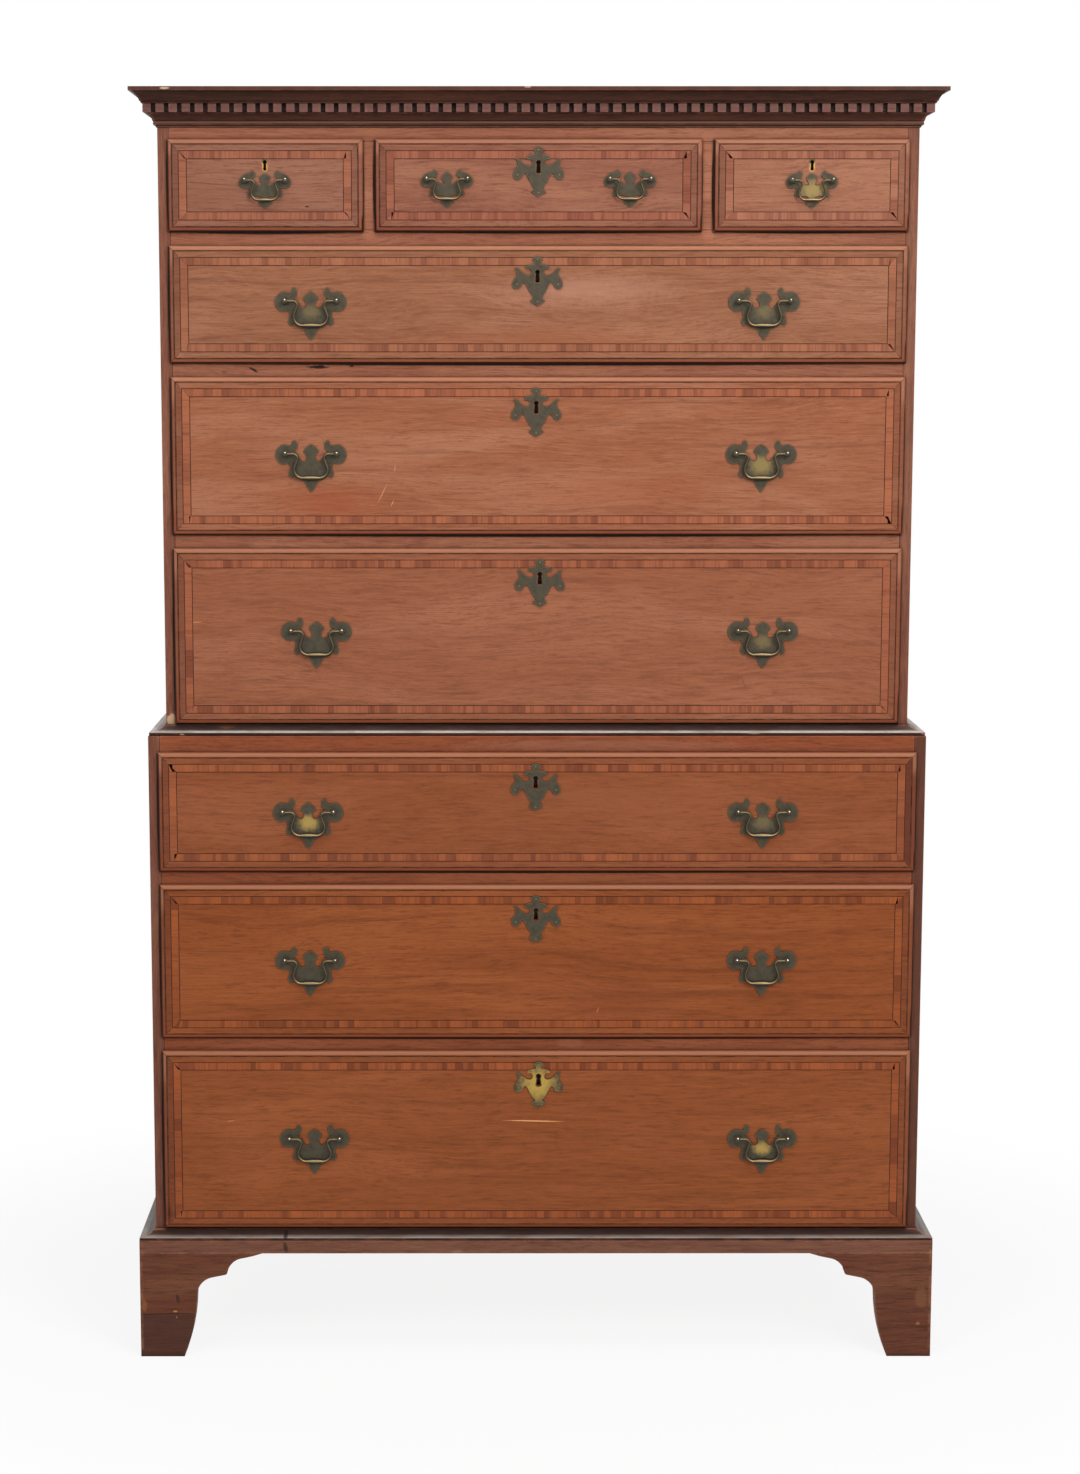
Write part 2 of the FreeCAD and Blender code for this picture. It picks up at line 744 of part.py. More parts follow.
rear_side = new_body("rear_side_bracket")
outline(sketch_on(rear_side, "YZ_Plane", "shape"), [("-(%s)" % p[0], p[1]) + (p[2:3] + (-p[3],) if p[2:] else ())
                                                    for p in bracket_path])
pad(doc.getObject("rear_side_bracket_shape"), "bracket_thick")
place(rear_side, "-base_half", "back_y", "0")

rear_face = new_body("rear_bracket")
outline(sketch_on(rear_face, "XZ_Plane", "shape"), [
    ("0", "0"), ("foot_width - bracket_thick", "0"), ("rear_bracket_width - bracket_thick", "foot_height"),
    ("0", "foot_height")])
pad(doc.getObject("rear_bracket_shape"), "bracket_thick")
place(rear_face, "-base_half + bracket_thick", "back_y", "0")

brackets = []
for piece in (front_bracket, side_bracket, rear_side, rear_face):
    brackets += pair(piece)
node("bracket_feet", group("bracket_feet", brackets))
blocks = []
for piece in foot_corner("front", from_front) + foot_corner("rear", from_back):
    blocks += pair(piece)
node("foot_blocks", group("foot_blocks", blocks))

# ---- Handles -----------------------------------------------------------------------------------


def bail_path(size):
    """Half of the swan-neck bail from its end in the post to the middle of its bottom bar."""
    return [
        (size + "_half - bail_end_gap", "0"),
        (size + "_bend_x", "0"),
        (size + "_flank_x", size + "_flank_z", size + "_neck_round", -1),
        (size + "_bow_x", size + "_bow_z"),
        (size + "_foot_x", "-" + size + "_drop", size + "_bow_round", 1),
    ]


def swan_neck_bail(label, size, x, y, z):
    """Drawn wire bent to the swan-neck shape at both ends of a grip that swells at its middle."""
    arm = new_body(label + "_arm")
    path = bail_path(size)
    route = outline(sketch_on(arm, "XZ_Plane", "route"), path, closed=False)
    section = sketch_on(arm, "YZ_Plane", "section", path[0][0])
    wire = size + "_wire_radius"
    section.addGeometry(Part.Circle(V(0, 0, 0), V(0, 0, 1), number(wire)))
    section.addConstraint(Sketcher.Constraint("Coincident", 0, 3, -1, 1))
    held = section.addConstraint(Sketcher.Constraint("Radius", 0, number(wire)))
    section.setExpression("Constraints[%d]" % held, bind(wire))
    pipe = arm.newObject("PartDesign::AdditivePipe", label + "_pipe")
    pipe.Profile = section
    pipe.Spine = route

    grip = new_body(label + "_grip")
    half, rise = size + "_foot_x", "(%s_swell_radius - %s)" % (size, wire)
    swell = "((%s ^ 2 + %s ^ 2) / (2 * %s))" % (half, rise, rise)
    profile = sketch_on(grip, "XZ_Plane", "profile")
    outline(profile, [("-" + half, "0"), (half, "0"), (half, wire), ("-" + half, wire, swell, -1)])
    turned(profile, "H_Axis")
    place(grip, "0", "0", "-%s_drop" % size)

    bail = node(label, fuse(label, grip, *pair(arm)))
    bail.Placement.Rotation = FreeCAD.Rotation(V(1, 0, 0), number("bail_tilt"))
    bail.setExpression("Placement.Rotation.Angle", bind("bail_tilt * 1 deg"))
    return place(bail, x, y, z)


def handle_post(name, size, side):
    """A turned post: threaded shank through the front, collar, neck and ball, bored for the bail's end."""
    body = new_body(name + "_turning")
    neck_end = "-(post_reach - sqrt(ball_radius ^ 2 - neck_radius ^ 2))"
    outline(sketch_on(body, "XY_Plane", "section"), [
        ("0", "field_proud + core_depth + nut_thick"),
        ("0", "-(post_reach + ball_radius)"),
        ("neck_radius", neck_end, "ball_radius", -1),
        ("neck_radius", "-(plate_thick + collar_thick)"),
        ("collar_radius", "-(plate_thick + collar_thick)"),
        ("collar_radius", "-plate_thick"),
        ("shank_radius", "-plate_thick"),
        ("shank_radius", "field_proud + core_depth + nut_thick"),
    ])
    turned(doc.getObject(body.Name + "_section"))
    bore = rod(name + "_bore", size + "_wire_radius + hinge_clear", "2 * ball_radius")
    bore.Placement.Rotation = FreeCAD.Rotation(V(0, 1, 0), 90 * side)
    place(bore, "%d * bail_end_gap / 2" % -side, "-post_reach", "0")
    return cut(name, body, bore)


PLATE_HALF_WIDTH = 50.4
PLATE_OUTLINE = {
    "large": [
        [(0, 15.2), (2.4, 13.0), (5.2, 11.6)],
        [(5.2, 11.6), (8.2, 8.6), (11.2, 4.2)],
        [(11.2, 4.2), (8.0, 1.6), (6.2, -2.2), (6.4, -6.4), (9.2, -9.2), (12.4, -9.2), (15.4, -6.2), (18.4, -0.4)],
        [(18.4, -0.4), (22.0, 2.9), (27.4, 4.0)],
        [(27.4, 4.0), (22.6, 6.4), (19.6, 10.4), (19.4, 15.0), (22.8, 20.2)],
        [(22.8, 20.2), (25.8, 19.4), (26.4, 16.4)],
        [(26.4, 16.4), (27.2, 13.6), (30.4, 12.8), (35.0, 13.9), (40.0, 14.0), (46.6, 9.6), (50.4, 1.0), (49.0, -6.0),
         (43.6, -11.8), (37.2, -13.0), (32.2, -11.2)],
        [(32.2, -11.2), (29.6, -16.5), (29.8, -21.0), (32.0, -27.0), (30.4, -31.4), (28.0, -33.6)],
        [(28.0, -33.6), (26.6, -31.2), (25.4, -28.8)],
        [(25.4, -28.8), (20.0, -33.2), (13.4, -36.4), (8.8, -38.4)],
        [(8.8, -38.4), (7.4, -42.0), (4.4, -47.2), (0, -53.2)],
    ],
    "small": [
        [(0, 16.9), (3.2, 14.6), (6.2, 11.9)],
        [(6.2, 11.9), (9.4, 9.9), (11.0, 6.4)],
        [(11.0, 6.4), (9.2, 2.2), (7.2, -1.0), (5.8, -4.0), (6.6, -6.8), (9.0, -7.7), (12.0, -7.4), (15.2, -5.4),
         (18.4, -1.6)],
        [(18.4, -1.6), (22.0, 1.4), (27.4, 3.6)],
        [(27.4, 3.6), (22.4, 7.4), (18.4, 11.0), (18.0, 14.2), (21.2, 17.8), (25.0, 21.8)],
        [(25.0, 21.8), (26.4, 19.4), (28.6, 16.6)],
        [(28.6, 16.6), (33.0, 15.6), (38.4, 14.0), (45.6, 8.8), (50.4, 1.0), (50.0, -5.6), (45.0, -11.6), (38.6, -13.2),
         (32.2, -11.8)],
        [(32.2, -11.8), (29.6, -15.2), (30.6, -18.6), (33.2, -21.8), (33.8, -25.4), (32.4, -29.8)],
        [(32.4, -29.8), (29.6, -28.4), (26.4, -29.2)],
        [(26.4, -29.2), (20.6, -28.2), (14.8, -27.2), (9.6, -28.2), (5.6, -30.6)],
        [(5.6, -30.6), (8.6, -35.8), (14.0, -39.6)],
        [(14.0, -39.6), (7.4, -45.8), (0, -51.6)],
    ],
}
ESCUTCHEON_OUTLINE = [
    [(0, 32.9), (4.2, 31.8), (8.2, 28.4)],
    [(8.2, 28.4), (5.0, 26.8), (3.8, 24.2), (7.2, 22.2)],
    [(7.2, 22.2), (12.6, 21.2), (17.4, 18.0)],
    [(17.4, 18.0), (14.4, 15.6), (10.6, 15.4), (8.6, 12.4), (9.0, 8.6), (12.6, 6.4), (17.0, 7.2), (21.2, 9.8),
     (25.4, 14.0)],
    [(25.4, 14.0), (28.8, 17.0), (32.6, 16.4)],
    [(32.6, 16.4), (29.6, 12.4), (28.8, 8.4), (30.8, 4.4), (34.2, -0.6), (35.6, -5.4), (34.4, -10.0),
     (30.8, -12.2), (26.6, -11.6), (23.4, -8.0), (21.4, -4.4), (19.2, -3.2), (16.4, -5.8), (13.0, -12.6),
     (8.4, -20.4), (4.2, -25.2)],
    [(4.2, -25.2), (7.8, -26.6), (10.7, -29.4)],
    [(10.7, -29.4), (6.6, -31.8), (0, -36.2)],
]
ESCUTCHEON_PINS = [(0, 28.8), (-29.2, -5.6), (29.2, -5.6), (0, -30.4)]


def ornament(half_outline, scale, thickness):
    """A pierced-brass blank: smooth stretches between cusps, mirrored, from Y = 0 out to -thickness."""
    edges = []
    for side in (1, -1):
        for stretch in half_outline:
            curve = Part.BSplineCurve()
            curve.interpolate([V(side * x * scale, 0, z * scale) for x, z in stretch])
            edges.append(curve.toShape())
    face = Part.Face(Part.Wire(Part.__sortEdges__(edges)))
    return face.extrude(V(0, -thickness, 0))


def along_y(radius, x, z, start, end):
    return Part.makeCylinder(radius, end - start, V(x, start, z), V(0, 1, 0))


def back_plate(name, size, x, z):
    """The brass plate behind a bail, drilled for the two posts."""
    thick = number("plate_thick")
    scale = number(size + "_plate_width") / 2 / PLATE_HALF_WIDTH
    shape = ornament(PLATE_OUTLINE[size], scale, thick)
    for side in (-1, 1):
        hole_x = side * number(size + "_half")
        shape = shape.cut(along_y(number("shank_radius"), hole_x, number("plate_drop"), -2 * thick, thick))
    return place(solid_from(name, shape), x, "-field_proud", z + " - plate_drop")


def keyhole(radius, rise, half_width, foot, start, end):
    """A key-shaped bar along Y: a round head over a flared slot with a rounded foot."""
    head = along_y(radius, 0, rise, start, end)
    shoulder = V(-radius * 0.62, start, rise)
    sill = -foot * 0.5
    arc = Part.Arc(V(-half_width, start, sill), V(0, start, -foot), V(half_width, start, sill)).toShape()
    sides = [
        Part.makeLine(shoulder, V(-half_width, start, sill)),
        arc,
        Part.makeLine(V(half_width, start, sill), V(-shoulder.x, start, rise)),
        Part.makeLine(V(-shoulder.x, start, rise), shoulder),
    ]
    slot = Part.Face(Part.Wire(sides)).extrude(V(0, end - start, 0))
    return head.fuse(slot).removeSplitter()


def pierced_escutcheon(name, x, z):
    """The shaped keyhole plate and its four pins."""
    thick = number("plate_thick")
    plate = ornament(ESCUTCHEON_OUTLINE, 1, thick)
    plate = plate.cut(keyhole(*(number(n) for n in ("key_round", "key_rise", "key_half_width", "key_foot")),
                              -2 * thick, thick))
    pins = []
    for i, (pin_x, pin_z) in enumerate(ESCUTCHEON_PINS):
        shank = along_y(number("pin_radius"), pin_x, pin_z, -thick, number("pin_length"))
        head = along_y(number("pin_head_radius"), pin_x, pin_z, -thick - number("pin_head_thick"), -thick)
        plate = plate.cut(shank)
        pin = solid_from("%s_pin_%d" % (name, i + 1), shank.fuse(head).removeSplitter())
        pins.append(place(pin, x, "-field_proud", z))
    return place(solid_from(name, plate), x, "-field_proud", z), pins


def thread_escutcheon(name, x, z):
    """The small brass rim let in flush round a keyhole."""
    wall = number("thread_wall")
    sizes = [number(n) for n in ("thread_round", "thread_rise", "thread_half_width", "thread_foot")]
    outer = keyhole(*sizes, 0, number("thread_depth"))
    inner_sizes = [sizes[0] - wall, sizes[1], sizes[2] - wall, sizes[3] - wall]
    rim = outer.cut(keyhole(*inner_sizes, -1, number("thread_depth") + 1))
    return place(solid_from(name, rim), x, "-field_proud", z)


# ---- Drawers -----------------------------------------------------------------------------------

KEY_SIZES = {
    "plate": ("key_round - 1", "key_rise", "key_half_width - 1.4", "key_foot - 1"),
    "thread": ("thread_round - thread_wall", "thread_rise", "thread_half_width - thread_wall",
               "thread_foot - thread_wall"),
}


def drawer_front(name, half, height, tools):
    """A lip-moulded front: core in the opening, ovolo lip over the case, raised flat field."""
    body = new_body(name + "_front_block")
    lip_x = ("-(%s + lip_overlap)" % half, "%s + lip_overlap" % half)
    lip_z = ("-lip_overlap", "%s + lip_overlap" % height)
    lip_sketch = sketch_on(body, "XZ_Plane", "lip")
    outline(lip_sketch, rectangle(lip_x, lip_z))
    lip = pad(lip_sketch, "lip_proud")
    proud = -number("lip_proud")
    rim = ["Edge%d" % (i + 1) for i, edge in enumerate(lip.Shape.Edges)
           if all(abs(v.Point.y - proud) < 1e-6 for v in edge.Vertexes)]
    rounding = body.newObject("PartDesign::Fillet", name + "_lip_round")
    rounding.Base = (lip, rim)
    rounding.setExpression("Radius", bind("lip_round"))
    doc.recompute()
    field = sketch_on(body, "XZ_Plane", "field")
    outline(field, rectangle((lip_x[0] + " + lip_width", lip_x[1] + " - lip_width"),
                             (lip_z[0] + " + lip_width", lip_z[1] + " - lip_width")))
    pad(field, "field_proud")
    core = sketch_on(body, "XZ_Plane", "core")
    outline(core, rectangle(("-(%s - drawer_clear)" % half, "%s - drawer_clear" % half),
                            ("0", height + " - drawer_head_clear")))
    pad(core, "core_depth", reverse=True)
    return cut(name + "_front_cut", body, *tools)


def drawer_side(name, half, height, depth):
    """The left side of a drawer box, its tails sawn at both ends."""
    body = new_body(name + "_side_board")
    side_height = height + " - drawer_head_clear - side_drop"
    start = "core_depth - tail_length"
    sketch = sketch_on(body, "YZ_Plane", "board")
    outline(sketch, rectangle((start, depth), ("0", side_height)))
    pad(sketch, "drawer_side_thick")
    count = max(round(number(side_height) / number("tail_pitch")), 2)
    pitch = "((%s) / %d)" % (side_height, count)
    for end, edge, root in (("front", start, "core_depth"), ("back", depth, depth + " - drawer_back_thick")):
        pin = sketch_on(body, "YZ_Plane", end + "_pin")
        outline(pin, [(edge, pitch + " - pin_root / 2"), (root, pitch + " - pin_root / 2 - pin_flare"),
                      (root, pitch + " + pin_root / 2 + pin_flare"), (edge, pitch + " + pin_root / 2")])
        sawn = pocket(pin)
        if count > 2:
            repeat(sawn, pin, "V_Axis", pitch, count - 1)
    return place(body, "-(%s - drawer_clear)" % half, "0", "0")


def drawer(name, half, opening, depth, middle_x, front, floor, handles, rise, lock, shift="0"):
    """One drawer with its box, lock and brasses, built round the middle of its opening's sill.

    The shift is how far the brasses were marked out from the drawer's middle.
    """
    inner_half = "(%s - drawer_clear)" % half
    groove = "drawer_side_thick - groove_depth"
    bottom = board(name + "_bottom", ("-(%s - (%s))" % (inner_half, groove), "%s - (%s)" % (inner_half, groove)),
                   ("core_depth - groove_depth", depth),
                   ("drawer_bottom_rise", "drawer_bottom_rise + drawer_bottom_thick"))
    side = cut(name + "_side", drawer_side(name, half, opening, depth), bottom)
    sides = pair(side)
    back_board = board(name + "_back_board", ("-" + inner_half, inner_half), (depth + " - drawer_back_thick", depth),
                       ("drawer_bottom_rise + drawer_bottom_thick",
                        opening + " - drawer_head_clear - 2 * side_drop"))
    back = cut(name + "_back", back_board, *sides)

    post_z = "%s / 2 + %s" % (opening, rise)
    posts, brasses = [], []
    handles = [(size, "%s + %s" % (x, shift), tag) for size, x, tag in handles]
    for size, x, tag in handles:
        for side_sign, end in ((-1, "left"), (1, "right")):
            post_name = "%s%s_post_%s" % (name, tag, end)
            post = handle_post(post_name, size, -side_sign)
            post_x = "%s + (%d) * %s_half" % (x, side_sign, size)
            posts.append(place(post, post_x, "-field_proud", post_z))
            nut_x = ("%s - nut_width / 2" % post_x, "%s + nut_width / 2" % post_x)
            nut = board(post_name + "_nut_blank", nut_x, ("core_depth", "core_depth + nut_thick"),
                        ("%s - nut_width / 2" % post_z, "%s + nut_width / 2" % post_z))
            brasses.append(cut(post_name + "_nut", nut, post))
        brasses.append(back_plate("%s%s_plate" % (name, tag), size, x, post_z))

    kind, drop = lock
    key_z = "%s + lip_overlap - %s" % (opening, drop)
    if kind == "plate":
        escutcheon, let_in = pierced_escutcheon(name + "_escutcheon", shift, key_z)
        brasses += [escutcheon] + let_in
    else:
        let_in = [thread_escutcheon(name + "_escutcheon", shift, key_z)]
        brasses += let_in
    key_sizes = [number(text) for text in KEY_SIZES[kind]]
    key_depth = number("core_depth + field_proud - lock_thick")
    key_way = place(solid_from(name + "_key_way", keyhole(*key_sizes, 0, key_depth)), shift, "-field_proud", key_z)
    lock_top = opening + " - drawer_head_clear"
    lock_x = (shift + " - lock_width / 2", shift + " + lock_width / 2")
    case_box = board(name + "_lock_case", lock_x, ("core_depth - lock_thick", "core_depth"),
                     (key_z + " - lock_below_key", lock_top + " - lock_cover"))
    cover = board(name + "_lock_cover", lock_x, ("core_depth - lock_thick", "core_depth"),
                  (lock_top + " - lock_cover", lock_top))
    lock_piece = fuse(name + "_lock", case_box, cover)
    front_tools = sides + [bottom, lock_piece, key_way] + posts + let_in

    where = (middle_x, front + " - lip_gap", floor)
    place(node(name + "_front", drawer_front(name, half, opening, front_tools)), *where)
    place(node(name + "_box", group(name + "_box_boards", sides + [back, bottom])), *where)
    place(node(name + "_brasses", group(name + "_brass_pieces", posts + brasses + [lock_piece])), *where)
    for size, x, tag in handles:
        swan_neck_bail(name + tag + "_bail", size, "%s + %s" % (middle_x, x),
                       "%s - lip_gap - field_proud - post_reach" % front, "%s + %s" % (floor, post_z))


one_small = [("small", "0", "")]
two_small = [("small", "-middle_handle_x", "_left"), ("small", "middle_handle_x", "_right")]
thread_lock = ("thread", "thread_escutcheon_drop")
drawer("top_left_drawer", "corner_half", "top_opening", "upper_box_depth", "-corner_x", "upper_front_y",
       "top_floor", one_small, "small_post_rise", thread_lock)
drawer("top_middle_drawer", "middle_half", "top_opening", "upper_box_depth", "0", "upper_front_y",
       "top_floor", two_small, "middle_post_rise", ("plate", "middle_escutcheon_drop"))
drawer("top_right_drawer", "corner_half", "top_opening", "upper_box_depth", "corner_x", "upper_front_y",
       "top_floor", one_small, "small_post_rise", thread_lock)
for case, front in (("upper", "upper_front_y"), ("lower", "front_y")):
    large_pair = [("large", "-%s_handle_x" % case, "_left"), ("large", "%s_handle_x" % case, "_right")]
    for level in ("1", "2", "3"):
        name = "%s_%s" % (case, level)
        drawer(name + "_drawer", case + "_inner", name + "_opening", case + "_box_depth", "0", front,
               name + "_floor", large_pair, name + "_post_rise", ("plate", "escutcheon_drop"), name + "_shift")

# ---- Check and write ---------------------------------------------------------------------------

doc.recompute()
for thing in doc.Objects:
    if "Invalid" in thing.State or "Error" in thing.State:
        raise RuntimeError("%s did not compute: %s" % (thing.Label, thing.State))
for piece in parts:
    if piece.Shape.isNull() or not piece.Shape.isValid() or not piece.Shape.Solids:
        raise RuntimeError("%s has no sound shape" % piece.Label)

os.makedirs("parts", exist_ok=True)
for piece in parts:
    piece.Shape.exportStep("parts/%s.step" % piece.Label)
print(len(parts), "sub-parts")
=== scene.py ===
import bmesh
import bpy
import math
import random
from mathutils import Euler, Matrix, Vector


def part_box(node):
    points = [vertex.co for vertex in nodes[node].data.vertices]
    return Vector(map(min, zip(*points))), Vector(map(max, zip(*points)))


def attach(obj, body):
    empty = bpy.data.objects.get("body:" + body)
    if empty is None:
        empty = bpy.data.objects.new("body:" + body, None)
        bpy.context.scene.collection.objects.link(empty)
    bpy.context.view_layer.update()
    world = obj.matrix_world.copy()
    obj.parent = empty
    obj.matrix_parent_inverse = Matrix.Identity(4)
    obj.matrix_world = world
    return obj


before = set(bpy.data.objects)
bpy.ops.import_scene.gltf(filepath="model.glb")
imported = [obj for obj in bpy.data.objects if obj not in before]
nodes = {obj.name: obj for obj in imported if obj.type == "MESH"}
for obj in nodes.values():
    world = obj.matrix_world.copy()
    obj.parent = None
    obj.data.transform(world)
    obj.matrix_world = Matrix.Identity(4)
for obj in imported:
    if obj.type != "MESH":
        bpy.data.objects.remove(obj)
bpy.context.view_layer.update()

# ---- Bracket feet --------------------------------------------------------------------------------
# Four pairs of mahogany brackets are mitred at the corners and glued up under the base frame.
# The left front foot was pieced out low down, and its new wood has stayed darker.
# Pine blocks behind the brackets carry the weight and are left as they came from the saw.


def shade(red, green, blue):
    """A finish colour as it looks in daylight, 0 to 255, for a shader socket."""
    return tuple(c / 12.92 if c < 0.04045 else ((c + 0.055) / 1.055) ** 2.4
                 for c in (red / 255, green / 255, blue / 255)) + (1.0,)


def put(tree, kind, inputs=None, **settings):
    """Adds a shader node; an input that is given a socket is linked to it, any other is set."""
    node = tree.nodes.new("ShaderNode" + kind)
    for name, value in settings.items():
        setattr(node, name, value)
    for name, value in (inputs or {}).items():
        if isinstance(value, bpy.types.NodeSocket):
            tree.links.new(value, node.inputs[name])
        else:
            node.inputs[name].default_value = value
    return node


def calc(tree, operation, *values):
    """One step of arithmetic on numbers or sockets."""
    return put(tree, "Math", dict(enumerate(values)), operation=operation).outputs[0]


def ease(tree, value, start, end, low=0.0, high=1.0):
    """Goes smoothly from low to high as the value goes from start to end."""
    return put(tree, "MapRange", {0: value, 1: start, 2: end, 3: low, 4: high},
               interpolation_type="SMOOTHSTEP").outputs[0]


def stain(tree, amount, under, over, mode="MIX"):
    """Lays one colour over another by an amount."""
    return put(tree, "Mix", {0: amount, 6: under, 7: over}, data_type="RGBA", blend_type=mode).outputs[2]


def cloudy(tree, where, scale, detail=3.0, rough=0.55, distort=0.0):
    """Noise from 0 to 1 with its own stretch in X, Y and Z, in turns per metre."""
    stretched = put(tree, "VectorMath", {0: where, 1: scale}, operation="MULTIPLY").outputs[0]
    return put(tree, "TexNoise", {"Vector": stretched, "Scale": 1.0, "Detail": detail, "Roughness": rough,
                                  "Distortion": distort}).outputs[0]


def shader_group(name, takes, gives):
    """An empty shader group with named inputs (and their starting values) and outputs."""
    group = bpy.data.node_groups.new(name, "ShaderNodeTree")
    for label, kind, value in takes:
        socket = group.interface.new_socket(name=label, in_out="INPUT", socket_type="NodeSocket" + kind)
        if value is not None:
            socket.default_value = value
    for label, kind in gives:
        group.interface.new_socket(name=label, in_out="OUTPUT", socket_type="NodeSocket" + kind)
    return group, group.nodes.new("NodeGroupInput").outputs, group.nodes.new("NodeGroupOutput").inputs


# Wood: the grain runs along X of the vector that is given.
wood_figure, takes, gives = shader_group(
    "wood_figure",
    [("Vector", "Vector", None), ("Pale", "Color", None), ("Body", "Color", None), ("Dark", "Color", None),
     ("Seed", "Float", 0.0), ("Figure", "Float", 1.0), ("Pores", "Float", 1.0)],
    [("Color", "Color"), ("Cloud", "Float"), ("Height", "Float")])
tree = wood_figure
moved = put(tree, "VectorMath", {0: takes["Vector"], 1: put(tree, "CombineXYZ", {
    0: takes["Seed"], 1: calc(tree, "MULTIPLY", takes["Seed"], 0.37),
    2: calc(tree, "MULTIPLY", takes["Seed"], 1.71)}).outputs[0]}, operation="ADD").outputs[0]
wander = calc(tree, "MULTIPLY", calc(tree, "SUBTRACT", cloudy(tree, moved, (2.6, 6.0, 7.0), 2.0), 0.5), 0.05)
grain = put(tree, "VectorMath", {0: moved, 1: put(tree, "CombineXYZ", {0: 0.0, 1: wander, 2: wander}).outputs[0]},
            operation="ADD").outputs[0]
patch = cloudy(tree, grain, (2.4, 9.0, 12.0), 3.0, 0.5, 0.5)
streak = cloudy(tree, grain, (1.6, 60.0, 95.0), 4.0, 0.6)
fibre = cloudy(tree, grain, (14.0, 500.0, 800.0), 2.0, 0.6)
fleck = cloudy(tree, grain, (26.0, 260.0, 330.0), 3.0, 0.7)
pore = ease(tree, cloudy(tree, grain, (95.0, 900.0, 1500.0), 1.0, 0.5), 0.60, 0.70)
pale_by = calc(tree, "MULTIPLY", takes["Figure"], ease(tree, patch, 0.44, 0.66))
dark_by = calc(tree, "MULTIPLY", takes["Figure"], ease(tree, streak, 0.48, 0.74))
colour = stain(tree, pale_by, takes["Body"], takes["Pale"])
colour = stain(tree, calc(tree, "MULTIPLY", dark_by, 0.42), colour, takes["Dark"])
colour = stain(tree, ease(tree, fleck, 0.51, 0.66, 0.0, 0.46), colour, takes["Pale"])
colour = stain(tree, ease(tree, fleck, 0.49, 0.32, 0.0, 0.52), colour, takes["Dark"])
colour = stain(tree, ease(tree, fibre, 0.38, 0.68, 0.0, 0.30), colour, takes["Dark"])
colour = stain(tree, calc(tree, "MULTIPLY", calc(tree, "MULTIPLY", pore, takes["Pores"]), 0.45), colour,
               takes["Dark"])
tree.links.new(colour, gives["Color"])
tree.links.new(patch, gives["Cloud"])
tree.links.new(calc(tree, "SUBTRACT", calc(tree, "MULTIPLY", fibre, 0.35),
                    calc(tree, "MULTIPLY", pore, takes["Pores"])), gives["Height"])

# Age: dirt and painted shade in the crevices, a rubbed arris, small dents and specks.
old_surface, takes, gives = shader_group(
    "old_surface",
    [("Vector", "Vector", None), ("Color", "Color", None), ("Crevice", "Float", 1.0), ("Arris", "Float", 1.0),
     ("Dirt_and_shade", "Color", None), ("Worn", "Color", None), ("Dirt_and_shade_by", "Float", 0.7), ("Worn by", "Float", 0.4),
     ("Specks", "Float", 0.4)],
    [("Color", "Color"), ("Dull", "Float"), ("Height", "Float")])
tree = old_surface
patchy = cloudy(tree, takes["Vector"], (45.0, 45.0, 45.0), 4.0, 0.65)
# Painted shade with dirt: crevices and the wood beside other parts darken by ambient occlusion, where shade falls.
dirt_and_shade = calc(tree, "MULTIPLY", ease(tree, takes["Crevice"], 0.95, 0.45), ease(tree, patchy, 0.25, 0.6, 0.55, 1.0))
dirt_and_shade = calc(tree, "MULTIPLY", dirt_and_shade, takes["Dirt_and_shade_by"])
lightened = calc(tree, "MULTIPLY", ease(tree, takes["Arris"], 0.85, 0.45), ease(tree, patchy, 0.4, 0.62))
lightened = calc(tree, "MULTIPLY", lightened, takes["Worn by"])
speck = calc(tree, "MULTIPLY", ease(tree, cloudy(tree, takes["Vector"], (310.0, 310.0, 310.0), 1.0), 0.73, 0.79),
             takes["Specks"])
dent = ease(tree, cloudy(tree, takes["Vector"], (38.0, 38.0, 38.0), 1.0), 0.68, 0.78)
colour = stain(tree, lightened, takes["Color"], takes["Worn"])
colour = stain(tree, speck, colour, takes["Dirt_and_shade"])
colour = stain(tree, dirt_and_shade, colour, takes["Dirt_and_shade"])
tree.links.new(colour, gives["Color"])
tree.links.new(dirt_and_shade, gives["Dull"])
tree.links.new(calc(tree, "SUBTRACT", 0.0, calc(tree, "ADD", calc(tree, "MULTIPLY", dent, 0.6), speck)),
               gives["Height"])

# A blemish: a spot, stroke or ring with its own middle, half sizes and turn on a front's plane.
blemish, takes, gives = shader_group(
    "blemish",
    [("Vector", "Vector", None), ("Middle", "Vector", None), ("Half", "Vector", None), ("Turn", "Float", 0.0),
     ("Soft", "Float", 0.5), ("Ragged", "Float", 0.3)],
    [("Spot", "Float"), ("Ring", "Float")])
tree = blemish
apart = put(tree, "VectorMath", {0: takes["Vector"], 1: takes["Middle"]}, operation="SUBTRACT").outputs[0]
apart = put(tree, "VectorRotate", {"Vector": apart, "Axis": (0.0, 1.0, 0.0), "Angle": takes["Turn"]}).outputs[0]
apart = put(tree, "VectorMath", {0: apart, 1: takes["Half"]}, operation="DIVIDE").outputs[0]
apart = put(tree, "VectorMath", {0: apart, 1: (1.0, 0.0, 1.0)}, operation="MULTIPLY").outputs[0]
reach = put(tree, "VectorMath", {0: apart}, operation="LENGTH").outputs["Value"]
ragged = calc(tree, "MULTIPLY", calc(tree, "SUBTRACT", cloudy(tree, takes["Vector"], (170.0, 170.0, 170.0)), 0.5),
              takes["Ragged"])
reach = calc(tree, "ADD", reach, calc(tree, "MULTIPLY", ragged, 2.0))
tree.links.new(ease(tree, reach, 1.0, calc(tree, "SUBTRACT", 1.0, takes["Soft"])), gives["Spot"])
tree.links.new(ease(tree, calc(tree, "ABSOLUTE", calc(tree, "SUBTRACT", reach, 1.0)), takes["Soft"], 0.0),
               gives["Ring"])

